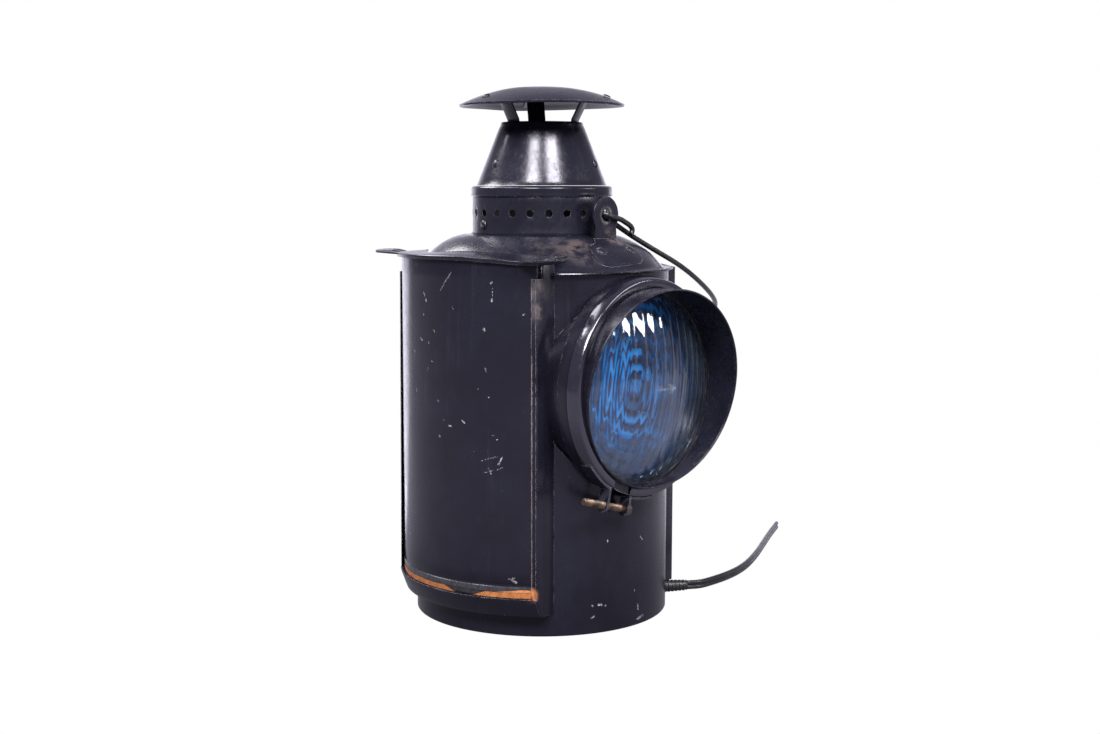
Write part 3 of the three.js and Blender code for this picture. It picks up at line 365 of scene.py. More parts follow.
class Nodes:
    """The node tree of a material or of the world, with short calls for its nodes."""

    def __init__(self, owner, out="ShaderNodeOutputMaterial", place="Object"):
        owner.use_nodes = True
        self.owner, self.tree = owner, owner.node_tree
        self.tree.nodes.clear()
        self.out = self.add(out)
        self.place = self.add("ShaderNodeTexCoord").outputs[place]
        self.ragged = None

    def add(self, kind, values=(), **settings):
        made = self.tree.nodes.new(kind)
        for key, value in settings.items():
            setattr(made, key, value)
        for key, value in dict(values).items():
            if isinstance(value, bpy.types.NodeSocket):
                self.tree.links.new(value, made.inputs[key])
            else:
                made.inputs[key].default_value = value
        return made

    def grain(self, scale, detail=3.0, rough=0.55, stretch=None, warp=0.0):
        where = self.place
        if stretch:
            where = self.add("ShaderNodeMapping", {"Vector": where, "Scale": stretch}).outputs[0]
        made = self.add("ShaderNodeTexNoise", {
            "Vector": where, "Scale": scale, "Detail": detail, "Roughness": rough, "Distortion": warp})
        return made.outputs["Fac"]

    def span(self, value, low, high, to_low=0.0, to_high=1.0, kind="SMOOTHSTEP"):
        made = self.add("ShaderNodeMapRange", {
            "Value": value, "From Min": low, "From Max": high, "To Min": to_low, "To Max": to_high},
            interpolation_type=kind)
        return made.outputs["Result"]

    def maths(self, operation, a, b=0.0):
        return self.add("ShaderNodeMath", {0: a, 1: b}, operation=operation).outputs[0]

    def plus(self, a, b):
        return self.maths("ADD", a, b)

    def less(self, a, b):
        return self.maths("SUBTRACT", a, b)

    def times(self, a, b):
        return self.maths("MULTIPLY", a, b)

    def most(self, a, b):
        return self.maths("MAXIMUM", a, b)

    def vector(self, operation, a, b=None):
        """A sum with vectors. Dot product, distance and length give a number."""
        second = {} if b is None else {"Scale" if operation == "SCALE" else 1: b}
        made = self.add("ShaderNodeVectorMath", {0: a, **second}, operation=operation)
        return made.outputs["Value" if operation in ("DOT_PRODUCT", "DISTANCE", "LENGTH") else "Vector"]

    def blend(self, share, a, b):
        a, b = (v if isinstance(v, bpy.types.NodeSocket) else (*v[:3], 1) for v in (a, b))
        return self.add("ShaderNodeMix", {0: share, 6: a, 7: b}, data_type="RGBA").outputs[2]

    def axis(self, name):
        return self.add("ShaderNodeSeparateXYZ", {0: self.place}).outputs[name]

    def bump(self, height, distance, under=None):
        values = {"Height": height, "Distance": distance, "Strength": 1.0}
        if under is not None:
            values["Normal"] = under
        return self.add("ShaderNodeBump", values).outputs[0]

    def scar(self, start, end, width):
        """1 near the line between two places and 0 away from it, with a ragged edge."""
        if self.ragged is None:
            spread = self.add("ShaderNodeTexNoise", {"Vector": self.place, "Scale": 900.0, "Detail": 2.0})
            aside = self.vector("SUBTRACT", spread.outputs["Color"], (0.5, 0.5, 0.5))
            self.ragged = self.vector("ADD", self.place, self.vector("SCALE", aside, 0.0022))
        a, b = Vector(start) * MM, Vector(end) * MM
        line = b - a
        from_a = self.vector("SUBTRACT", self.ragged, a)
        share = self.vector("DOT_PRODUCT", from_a, line / line.length_squared)
        share = self.add("ShaderNodeClamp", {"Value": share}).outputs[0]
        away = self.vector("DISTANCE", from_a, self.vector("SCALE", line, share))
        return self.span(away, width * 0.35 * MM, width * 0.65 * MM, 1.0, 0.0)

    def near(self, place, radius, share):
        """A share at a place that fades to 0 at a radius from it."""
        away = self.vector("DISTANCE", self.place, Vector(place) * MM)
        return self.span(away, radius * MM, radius * 0.3 * MM, 0.0, share)

    def edges(self, radius):
        """1 on rounded and folded edges."""
        flat = self.add("ShaderNodeNewGeometry").outputs["Normal"]
        rounded = self.add("ShaderNodeBevel", {"Radius": radius * MM}, samples=4).outputs[0]
        return self.less(1.0, self.vector("DOT_PRODUCT", flat, rounded))

    def surface(self, made):
        """Send a shader node to the output, and return what the tree belongs to."""
        self.tree.links.new(made.outputs[0], self.out.inputs["Surface"])
        return self.owner

    def shader(self, values):
        return self.surface(self.add("ShaderNodeBsdfPrincipled", values))


def material(name):
    return Nodes(bpy.data.materials.get(name) or bpy.data.materials.new(name))


def foot_primer(tree, fine, low, high):
    """The door's foot: how far its hem is rubbed, and how far its primer shows."""
    across, height = tree.axis("Y"), tree.axis("Z")
    thin = tree.span(tree.maths("ABSOLUTE", tree.plus(across, 0.0215)), 0.006, 0.018, 1.0, 0.0)
    ragged = tree.times(tree.less(tree.grain(60.0), 0.5), 0.0026)
    thick = tree.span(across, -0.034, -0.066, 0.0, 0.0022)
    level = tree.less(tree.plus(height, tree.plus(ragged, tree.times(thin, 0.0034))), thick)
    top = tree.span(level, high * MM, (high - 0.3) * MM)
    band = tree.times(tree.span(height, low * MM, (low + 0.3) * MM), top)
    rim = tree.times(tree.span(height, 0.0377, 0.0372), tree.span(height, 0.030, 0.031))
    return tree.times(rim, tree.span(fine, 0.3, 0.6, 0.3, 0.8)), band


def enamel(name, gloss, chips, worn_edges, streaks=0.0, rubbed=(), dents=0.5, scars=(), primer=None,
           grime=0.3, mirror=0.30, rings=(), strips=(), spots=()):
    """Black enamel on sheet, with dents, orange peel, chips, scratches and worn edges."""
    tree = material(name)
    paint, bare, orange = finishes().enamel, finishes().bare_metal, finishes().primer
    broad = tree.grain(24.0, 3.0)
    fine = tree.grain(310.0, 4.0, 0.6)

    # Damage, where bare metal shows
    speck = tree.span(tree.grain(1300.0, 3.0, 0.7), 0.71, 0.74)
    cluster = tree.span(tree.grain(23.0, 2.0), 0.62 - 0.12 * chips, 0.74 - 0.12 * chips)
    flake = tree.span(tree.grain(420.0, 6.0, 0.68, warp=0.3), 0.745 - 0.04 * chips, 0.76 - 0.04 * chips)
    damage = tree.times(tree.most(tree.times(speck, cluster), tree.times(flake, cluster)), 0.8)
    scuff = tree.span(tree.grain(520.0, 3.0, 0.7), 0.36, 0.62, 0.15, 0.85)
    rub = tree.span(tree.grain(190.0, 4.0, 0.65), 0.62 - 0.3 * worn_edges, 0.80 - 0.25 * worn_edges)
    edge = tree.span(tree.edges(0.5), 0.06, 0.25)
    damage = tree.most(damage, tree.times(edge, tree.times(rub, 0.8)))
    for start, end, width in scars:
        damage = tree.most(damage, tree.times(tree.scar(start, end, width * 0.8), scuff))
    for place, radius in rings:
        round_it = tree.less(tree.near(place, radius * 1.25, 1.0), tree.near(place, radius * 1.02, 1.0))
        damage = tree.most(damage, tree.times(round_it, scuff))

    # Tone
    streak = tree.span(tree.grain(150.0, 4.0, 0.6, stretch=(1, 1, 0.035)), 0.56, 0.72)
    streak = tree.times(streak, tree.span(broad, 0.35, 0.6))
    tone = tree.blend(tree.span(broad, 0.3, 0.7, 0.0, 0.6), paint, [c * 1.9 for c in paint])
    tone = tree.blend(tree.times(streak, 0.3 * streaks), tone, (0.03, 0.029, 0.042))
    dust = tree.span(tree.grain(55.0, 5.0, 0.7), 0.54, 0.78, 0.0, grime * 0.3)
    tone = tree.blend(dust, tone, (0.03, 0.028, 0.034))
    worn = tree.span(tree.grain(75.0, 6.0, 0.66, warp=0.5), 0.42, 0.60)
    for place, radius, share in rubbed:
        tone = tree.blend(tree.times(worn, tree.near(place, radius, share)), tone, finishes().rubbed)
    for start, end, width in strips:
        patchy = tree.span(tree.grain(130.0, 5.0, 0.7), 0.34, 0.60, 0.15, 0.75)
        tone = tree.blend(tree.times(patchy, tree.scar(start, end, width)), tone, (0.135, 0.112, 0.106))
    for place, radius in spots:
        tone = tree.blend(tree.times(tree.near(place, radius, 1.0), worn), tone, orange)
    tone = tree.blend(damage, tone, tree.blend(tree.span(fine, 0.35, 0.65), bare, [c * 0.45 for c in bare]))

    # Roughness
    shine = tree.span(broad, 0.3, 0.7, gloss, gloss + 0.09)
    shine = tree.plus(shine, tree.span(fine, 0.4, 0.75, 0.0, 0.10))
    shine = tree.plus(shine, tree.times(streak, 0.12 * streaks))
    shine = tree.plus(shine, tree.times(damage, 0.25))
    if primer:
        rim, band = foot_primer(tree, fine, *primer)
        shade = tree.blend(tree.span(fine, 0.3, 0.7), orange, [c * 0.6 for c in orange])
        tone = tree.blend(band, tree.blend(rim, tone, (0.040, 0.038, 0.042)), shade)
        shine = tree.plus(shine, tree.times(band, 0.35))

    relief = tree.bump(tree.grain(17.0, 2.0, 0.45), 0.0011 * dents)
    relief = tree.bump(tree.grain(420.0, 2.0), 0.00005, under=relief)
    relief = tree.bump(damage, -0.00006, under=relief)
    return tree.shader({
        "Base Color": tone, "Roughness": shine, "Normal": relief, "IOR": 1.5, "Metallic": 0.0,
        "Specular IOR Level": mirror, "Specular Tint": (0.94, 0.90, 1.0, 1)})


def raw_metal(name, tone, dark, roughness, metallic=1.0):
    """Worn bare metal: screws, wire, bracket and tinned sheet."""
    tree = material(name)
    fine = tree.grain(700.0, 3.0)
    return tree.shader({
        "Base Color": tree.blend(tree.span(tree.grain(120.0, 5.0, 0.65), 0.4, 0.62), tone, dark),
        "Roughness": tree.span(fine, 0.3, 0.7, roughness - 0.08, roughness + 0.18),
        "Normal": tree.bump(fine, 0.00005), "Metallic": metallic})


def flute_pitch():
    """Width of one of the clear lens' flutes, in millimetres."""
    return 2 * GLASS_EDGE / sizes().flute_count


def lens_place(tree):
    """Places on a lens: across its flutes, along them, and the share across one flute."""
    side, up = tree.axis("X"), tree.less(tree.axis("Z"), sizes().lens_height)
    lean, square = math.sin(LENS_LEAN), math.cos(LENS_LEAN)
    across = tree.less(tree.times(side, square), tree.times(up, lean))
    upright = tree.plus(tree.times(side, lean), tree.times(up, square))
    share = tree.plus(tree.maths("DIVIDE", across, flute_pitch() * MM), 100 + 0.5 * sizes().flute_count)
    return across, upright, tree.less(tree.maths("FRACT", share), 0.5)


GLASS_SCRATCHES = (
    ((-9, 171.7), (13, 171.0)), ((4, 174.6), (13, 171.0)), ((5, 168.0), (13, 171.2)),
    ((-8, 174), (-2, 173.6)),
)


def clear_glass(name):
    """Clear glass with a little dust, more of it on the ridges, low down and away from the door."""
    tree = material(name)
    across, upright, share = lens_place(tree)
    low = tree.span(upright, -0.018, -0.055, 0.0, 0.013)
    aside = tree.span(across, 0.004, 0.05, 0.0, 0.014)
    ridge = tree.span(tree.maths("ABSOLUTE", share), 0.38, 0.45, 0.0, 0.030)
    dust = tree.times(tree.plus(low, aside), tree.span(tree.grain(70.0, 4.0), 0.3, 0.6, 0.6, 1.0))
    for scratch in GLASS_SCRATCHES:
        start, end = ((x, -116.9 + (x * x + (z - LENS_Z) ** 2) * 0.0037, z) for x, z in scratch)
        dust = tree.plus(dust, tree.times(tree.scar(start, end, 1.5), 0.09))
    return tree.shader({
        "Base Color": (0.66, 0.80, 0.97, 1), "IOR": 1.5, "Specular IOR Level": 0.28,
        "Transmission Weight": tree.less(0.999, tree.plus(dust, ridge)),
        "Roughness": tree.span(tree.grain(90.0, 5.0, 0.65), 0.5, 0.8, 0.015, 0.09),
        "Normal": tree.bump(tree.grain(40.0, 2.0), 0.00008)})


def blue_glass(name):
    """Blue glass with stepped rings and a painted glow: pale arcs of light through the rings are painted into
    its colour, brightest on the left and fading towards the bottom. The flutes in front break the arcs into
    short upright strokes.
    """
    tree = material(name)
    across, upright, share = lens_place(tree)
    spread = tree.plus(across, tree.times(share, flute_pitch() * MM * 1.1))
    radius = tree.maths("SQRT", tree.plus(*[tree.maths("POWER", reach, 2.0) for reach in (spread, upright)]))
    wave = tree.maths("SINE", tree.times(radius, FULL / 0.0105))
    ragged = tree.plus(wave, tree.times(tree.less(tree.grain(90.0, 5.0), 0.5), 1.4))
    broken = tree.span(tree.grain(46.0, 3.0), 0.36, 0.54, 0.12, 1.0)
    painted_arcs = tree.times(tree.span(ragged, -0.3, 0.8), broken)
    # Painted light: the arcs are painted brightest left of the lens' middle. Towards the bottom they fade to
    # the dark blue as painted shade.
    painted_glow = tree.times(painted_arcs, tree.span(tree.axis("X"), 0.044, 0.004, 0.06, 1.0))
    deep = tree.blend(tree.grain(60.0, 3.0), (0.0006, 0.010, 0.040), (0.002, 0.07, 0.23))
    return tree.shader({
        "Base Color": tree.blend(
            tree.times(painted_glow, tree.span(upright, -0.050, -0.030)), deep, finishes().blue_glass),
        "Transmission Weight": 0.3, "IOR": 1.5, "Roughness": 0.06, "Specular IOR Level": 0.25,
        "Normal": tree.bump(tree.grain(60.0, 2.0), 0.0004)})


def bulb_glass(name):
    tree = material(name)
    haze = tree.blend(tree.span(tree.grain(50.0), 0.3, 0.7), (0.92, 0.92, 0.90), (0.85, 0.86, 0.88))
    return tree.shader({"Base Color": haze, "Transmission Weight": 0.55, "IOR": 1.45, "Roughness": 0.35})


def black_rubber(name, gloss=0.34):
    tree = material(name)
    fine = tree.grain(500.0, 3.0)
    worn = tree.span(tree.grain(60.0, 4.0), 0.4, 0.7)
    return tree.shader({
        "Base Color": tree.blend(worn, (0.006, 0.006, 0.008), (0.018, 0.018, 0.021)), "IOR": 1.48,
        "Roughness": tree.span(fine, 0.3, 0.7, gloss, gloss + 0.16), "Normal": tree.bump(fine, 0.00004)})


def phenolic(name):
    tree = material(name)
    tone = tree.blend(tree.span(tree.grain(200.0), 0.4, 0.6), (0.012, 0.008, 0.006), (0.03, 0.02, 0.015))
    return tree.shader({
        "Base Color": tone, "IOR": 1.55, "Roughness": tree.span(tree.grain(300.0), 0.3, 0.7, 0.25, 0.4)})


# Scratches, worn places and marks, as (start, end, width) or (place, radius, share), in millimetres

DOOR_SCARS = [
    ((-103.4, -2.4, 240), (-102.8, -11.8, 252), 1.1), ((-94.5, -42.1, 246), (-94.3, -42.5, 246.6), 1.8),
    ((-93.9, -43.2, 243), (-94.0, -43.0, 236), 0.6), ((-94.2, -42.7, 235), (-94.2, -42.8, 234), 1.6),
    ((-96.2, -38.2, 188), (-95.9, -38.9, 186), 1.5), ((-92.3, -46.6, 122.5), (-91.0, -49.0, 127.5), 1.3),
    ((-94.6, -41.8, 116), (-95.4, -40.2, 119.5), 1.0), ((-102.1, 16.3, 237), (-102.3, 15.0, 235), 1.2),
    ((-102.5, 13.9, 233), (-102.5, 13.4, 231), 1.2), ((-102.7, -12.5, 229), (-102.5, -14.0, 227), 0.9),
    ((-103.3, 5.1, 212), (-103.3, 3.0, 209), 0.8), ((-101.7, -19, 193), (-101.3, -20.4, 190), 0.8),
    ((-94.6, 41.8, 62), (-94.4, 42.4, 60), 1.1), ((-87.6, -55.0, 42.5), (-86.0, -57.3, 41.0), 2.0),
    ((-88.8, -53.0, 43.4), (-86.6, -56.6, 44.2), 1.0), ((-101.6, 20.4, 205.1), (-102.0, 18.6, 203.9), 1.9),
    ((-103.1, 10.7, 203.0), (-103.1, 10.2, 202.5), 1.3), ((-99.5, 29.1, 195.2), (-99.5, 29.2, 190.6), 0.8),
    ((-103.4, 6.9, 190.2), (-103.5, 5.3, 189.6), 1.3), ((-103.1, 11.1, 185.6), (-103.0, 11.7, 182.7), 0.9),
    ((-100.0, 27.2, 169.1), (-100.2, 26.7, 166.6), 1.0), ((-93.4, 44.9, 159.4), (-93.7, 44.2, 159.2), 1.2),
    ((-103.6, 0.5, 163.2), (-103.6, 0.2, 162.9), 1.5), ((-98.1, -33.5, 175.1), (-98.1, -33.5, 173.4), 0.9),
    ((-95.6, -40.1, 168.5), (-95.5, -40.3, 168.3), 1.2),
    ((-101.5, -20.8, 151.0), (-101.0, -23.2, 149.2), 1.3),
    ((-103.6, -4.5, 149.7), (-103.5, -4.8, 149.4), 1.4), ((-103.2, -9.1, 146.5), (-103.0, -11.5, 146.3), 1.1),
    ((-103.6, -0.1, 138.4), (-103.6, -0.3, 138.1), 1.5), ((-94.1, -43.4, 142.4), (-94.0, -43.6, 142.1), 1.0),
    ((-93.0, -45.7, 139.7), (-92.9, -46.0, 139.4), 1.0), ((-97.6, -34.8, 124.2), (-92.7, -46.3, 128.1), 0.5),
    ((-97.1, -36.2, 115.8), (-91.1, -49.5, 120.3), 0.5), ((-102.3, 16.9, 222.0), (-102.3, 16.4, 221.7), 1.0),
    ((-96.6, -37.5, 214.5), (-96.5, -37.9, 213.9), 2.2), ((-83.4, -61.5, 225.1), (-83.1, -62.0, 225.5), 1.2),
]
BAY_STRIPS = [
    ((-81.2, -66.2, 34), (-81.2, -66.2, 196), 2.6), ((-80.2, -67.6, 29.6), (-78.4, -69.6, 29.6), 1.6),
]
BAY_SPOTS = [((-80.8, -66.4, 32.5), 6.5)]
BAY_RUBS = [((-79, -69, 240), 14, 0.8), ((-79, -70, 226), 8, 0.5)]
ROOF_RUBS = [((-30, -66, 268), 22, 0.45), ((-50, -50, 269), 16, 0.2)]
LUG_RINGS = [((-19.5, -75.8, 267.0), 3.9), ((11.5, -75.8, 267.0), 3.9), ((0, -61, BAIL_LIFT), 6.2)]
LUG_RUBS = [((4, -66, 274), 11, 0.7), ((14, -70, 272), 8, 0.7)]
BODY_SCARS = [
    ((-31.0, -87.7, 20.2), (-33.8, -86.7, 20.2), 1.6), ((-37.9, -84.9, 20.0), (-38.3, -84.7, 20.4), 1.5),
    ((-28.3, -88.6, 18.7), (-28.4, -88.6, 19.4), 1.2), ((-37.0, -85.3, 12.4), (-38.8, -84.5, 11.4), 1.4),
    ((1.0, -93.0, 4.4), (7.0, -92.7, 5.4), 2.2), ((-27.0, -89.0, 65.6), (-27.1, -89.0, 64.4), 1.3),
    ((3.1, -93.0, 64.0), (6.0, -92.8, 61.0), 0.8), ((1.5, -93.0, 14.8), (1.6, -93.0, 11.0), 1.4),
    ((-2.0, -93.0, 26.2), (-2.1, -93.0, 25.2), 1.2),
]


# Shapes shared by several pieces

def door_sheet(name, outline, low, high, steps=72, width=50):
    """A curved sheet on the door side, cut off straight at two places. Width is half its arc in degrees."""
    half = math.radians(width)
    piece = turned(name, outline, steps=steps, start=math.pi - half, sweep=2 * half)
    trim(piece, (0, high, 0), (0, 1, 0))
    trim(piece, (0, low, 0), (0, -1, 0))
    return piece


def settle(place):
    """How the bay's rear wall leans in above the sill. The door and its rail follow it."""
    lean = 0.0012 * hump(place, 138, 25) * ramp(place.z, 0.030, 0.038)
    return Vector((place.x, place.y, 0)).normalized() * -lean


def rivet(name, place, normal, radius=3.0, height=1.4):
    """A domed rivet head, set by hand and slightly flattened."""
    to_object_mode()
    bpy.ops.mesh.primitive_uv_sphere_add(segments=24, ring_count=12, radius=radius * MM)
    piece = fresh(name)
    edit(piece)
    bpy.ops.mesh.bisect(plane_co=(0, 0, 0), plane_no=(0, 0, -1), use_fill=True, clear_outer=True)
    heal()

    def flatten(place):
        share = place.z / (radius * MM)
        return lifted(place.z * (height / radius * (1 - 0.12 * share ** 2) - 1))
    shift(piece, flatten)
    turn = Vector(normal).to_track_quat("Z", "Y").to_matrix().to_4x4()
    piece.data.transform(Matrix.Translation(Vector(place) * MM) @ turn)
    smooth(piece, 50)
    return piece


class LampPiece:
    """What every operator of the lamp shares."""
    bl_options = {"REGISTER", "UNDO"}


class AddCamera(LampPiece, bpy.types.Operator):
    """Set the camera where the lamp is seen from"""
    bl_idname = "semaphore_lamp.camera"
    bl_label = "Camera"

    def execute(self, context):
        to_object_mode()
        bpy.ops.object.camera_add(
            location=(-0.8182, -0.7710, 0.3114),
            rotation=(math.radians(90 - 6.789), math.radians(-0.075), math.atan2(-0.7317, 0.6821)))
        camera = context.object
        camera.name = "lamp_camera"
        camera.data.lens, camera.data.sensor_width = 50.0, 36.0
        context.scene.camera = camera
        return {"FINISHED"}


CORD_ROUTE = [
    (92.076, -66.897, 6.6), (95.6, -69, 6.5), (99.6, -70.6, 6.3), (104.5, -71.3, 6.0), (110.5, -71.2, 5.7),
    (122.4, -70.2, 5.2), (135, -68.8, 4.8), (149, -66.4, 4.4), (163.4, -62.9, 4.0), (178.4, -58.2, 3.8),
    (193.4, -52.6, 3.8), (210, -45.3, 3.7), (228.6, -36.6, 3.7), (249, -26.4, 3.7), (271, -15.3, 3.7),
    (293, -4.4, 3.7), (322.9, 9.8, 3.7),
]


def smooth_route(points, per_step=6):
    """A finer run of places on one curve through the route's points."""
    ends = [points[0]] + list(points) + [points[-1]]
    run = []
    for i in range(len(points) - 1):
        a, b, c, d = (Vector(p) for p in ends[i:i + 4])
        for k in range(per_step):
            t = k / per_step
            square, cube = 2 * a - 5 * b + 4 * c - d, 3 * b - a - 3 * c + d
            run.append(0.5 * (2 * b + (c - a) * t + square * t * t + cube * t ** 3))
    run.append(Vector(points[-1]))
    return run


def sweep(name, run, section):
    """A closed section, as pairs sideways and up, carried along a run of places."""
    rows, faces = [], []
    for i, place in enumerate(run):
        ahead = (run[min(i + 1, len(run) - 1)] - run[max(i - 1, 0)]).normalized()
        side = ahead.cross(Vector((0, 0, 1))).normalized()
        up = side.cross(ahead)
        rows += [(place + side * a + up * b) * MM for a, b in section]
    count = len(section)
    for i in range(len(run) - 1):
        for k in range(count):
            near, far = i * count, (i + 1) * count
            faces.append((near + k, near + (k + 1) % count, far + (k + 1) % count, far + k))
    faces.append(tuple(range(count - 1, -1, -1)))
    faces.append(tuple((len(run) - 1) * count + k for k in range(count)))
    data = bpy.data.meshes.new(name)
    data.from_pydata([tuple(r) for r in rows], [], faces)
    piece = bpy.data.objects.new(name, data)
    bpy.context.scene.collection.objects.link(piece)
    edit(piece)
    bpy.ops.mesh.normals_make_consistent(inside=False)
    to_object_mode()
    return piece


class AddCord(LampPiece, bpy.types.Operator):
    """Lay the free twin flex along the ground"""
    bl_idname = "semaphore_lamp.cord"
    bl_label = "Power cord"

    def execute(self, context):
        run = smooth_route(CORD_ROUTE)
        lobe, half, waist = 1.72, 1.78, 0.85
        upper, lower = arc((0, half), lobe, -62, 242, 14), arc((0, -half), lobe, 118, 422, 14)
        flex = sweep("power_flex", run, [*upper, (-waist, 0), *lower, (waist, 0)])
        ahead = (run[-1] - run[-2]).normalized()
        tips = []
        for sign, bare in ((1, 5.5), (-1, 4.2)):
            start = run[-1] + lifted(sign * half) - ahead * 9
            end = run[-1] + lifted(sign * (half + 0.05)) - ahead * (5.6 - bare)
            tips.append(round_bar(f"flex_tip_{len(tips)}", lobe, start, end, 24))
        flex = merged("power_flex", flex, *tips)
        keep_piece(flex, black_rubber("flex_sheath", 0.22), "power_cord", angle=40)
        return {"FINISHED"}


class AddBody(LampPiece, bpy.types.Operator):
    """Roll the body shell and its floor"""
    bl_idname = "semaphore_lamp.body"
    bl_label = "Body shell and floor"

    def execute(self, context):
        outer = [(BODY_R - 0.25, 0.02), (BODY_R, 0.4)] + [(BODY_R, z) for z in range(12, 246, 12)]
        inner = [(r - 1, z) for r, z in reversed(outer)]
        edge = [(BODY_R, BODY_TOP), (BODY_R - 1, BODY_TOP)]
        shell = turned("body_sheet", outer + edge + inner, steps=192)
        carve(shell, block("door_hole", (-110, -56, 44), (-46, 56, 240)))
        carve(shell, round_bar("lens_hole", 70.8, (0, -46, LENS_Z), (0, -100, LENS_Z), 96))
        way = [ring_at(CORD_TURN, radius, CORD_Z) for radius in (80, 100)]
        carve(shell, round_bar("lead_hole", 4.7, *way))
        uneven(shell, 0.00028, 0.05, lambda p: ramp(p.z, 0.01, 0.05))
        finish = enamel("body_enamel", 0.16, 0.35, 0.6, streaks=0.5, scars=BODY_SCARS)
        keep_piece(shell, finish, "body_shell")
        floor = turned("floor_sheet", [
            (0, 0.1), (84, 0.1), (90.9, 0.1), (91.65, 0.8), (91.65, 10), (90.9, 10), (90.9, 1.6), (90, 0.9),
            (84, 0.9), (0, 0.9)], closed=False)
        notch = block("lead_notch", (71, -5.7, 0.9), (96, 5.7, 16))
        notch.data.transform(Matrix.Rotation(CORD_TURN, 4, "Z"))
        carve(floor, notch)
        keep_piece(floor, enamel("floor_enamel", 0.3, 0.4, 0.5), "floor_pan")
        return {"FINISHED"}


class AddDoorBay(LampPiece, bpy.types.Operator):
    """Fold the door bay: side walls, guide lips, collar, sill and inner rails"""
    bl_idname = "semaphore_lamp.door_bay"
    bl_label = "Door bay"

    def execute(self, context):
        back = BODY_R + 0.3
        parts = []
        for side in (1, -1):
            corners = ((back, 70), (105, 70), (105, 69), (back, 69))
            wall = [(-math.sqrt(r ** 2 - y ** 2), side * y) for r, y in corners]
            sheet = plate(f"bay_wall_{side}", wall, 16.5, 258)
            carve(sheet, turned("bay_corner", oblong(101, 112, 249, 262), steps=96))
            carve(sheet, turned("bay_taper", [
                (101.3, 12), (101.3, 16.6), (102.5, 19.5), (104.1, 24), (105.4, 27.6), (105.8, 29.35),
                (105.8, 31), (114, 31), (114, 12)], steps=96))
            ends = sorted((side * 66.5, side * 69.5))
            parts += [sheet, door_sheet(f"bay_lip_{side}", oblong(104.2, 104.75, 29.3, 249), *ends)]
        parts.append(door_sheet("bay_collar", [
            (back, 16.5), (101, 16.5), (102.2, 19.5), (103.8, 24), (105.1, 27.6), (105.5, 29.35),
            (104.3, 29.35), (103.9, 27.6), (102.6, 24), (101, 19.5), (99.8, 17.5),
            (back, 17.5)], -69.6, 69.6))
        parts.append(door_sheet("bay_shelf", oblong(back, 104.9, 28.35, 29.35), -69.6, 69.6))
        for part in parts:
            soften(part)
        casing = merged("door_bay", *parts)
        shift(casing, settle)
        finish = enamel(
            "bay_enamel", 0.2, 0.6, 0.95, rubbed=BAY_RUBS, strips=BAY_STRIPS, spots=BAY_SPOTS, streaks=0.4,
            dents=0.4, grime=0.5)
        keep_piece(casing, finish, "door_casing")
        finish = enamel("rail_enamel", 0.3, 0.7, 0.8, dents=0.2)
        for side, end in ((1, "rear"), (-1, "front")):
            parts = []
            for part, inner, near, far in (("face", 62.7, 101.1, 102.1), ("web", 67.7, 94.2, 101.5)):
                ends = sorted((side * inner, side * 68.7))
                parts.append(door_sheet(f"rail_{part}_{side}", oblong(near, far, 40, 243), *ends))
                soften(parts[-1], segments=1)
            rail = merged(f"{end}_rail", *parts)
            shift(rail, settle)
            keep_piece(rail, finish, f"guide_rail_{end}")
        return {"FINISHED"}


def plate_bend(across):
    """How far the door's top plate is bent up at a place along the door, in metres."""
    knots = ((-92, 1.0), (-80, 0.6), (-70, -0.8), (-60, -0.4), (-42, 0.9), (-25, 1.8), (0, 1.8),
             (40, 1.4), (68, 1.3), (80, 2.4), (92, 3.0))
    return along(knots, across / MM) * MM


def plate_sink(place):
    """How far the plate's inner side lies lower towards its rear end, and its rear ear tips to the front."""
    inner = ramp(place.xy.length, 0.1054, 0.0854)
    rear = along(((-10, 0), (40, 1)), place.y / MM)
    ear = along(((68, 0), (78, 1)), place.y / MM)
    return (0.0021 * inner * (1 - ear) - 0.00006 / MM * (place.x + 0.077) * ear) * rear


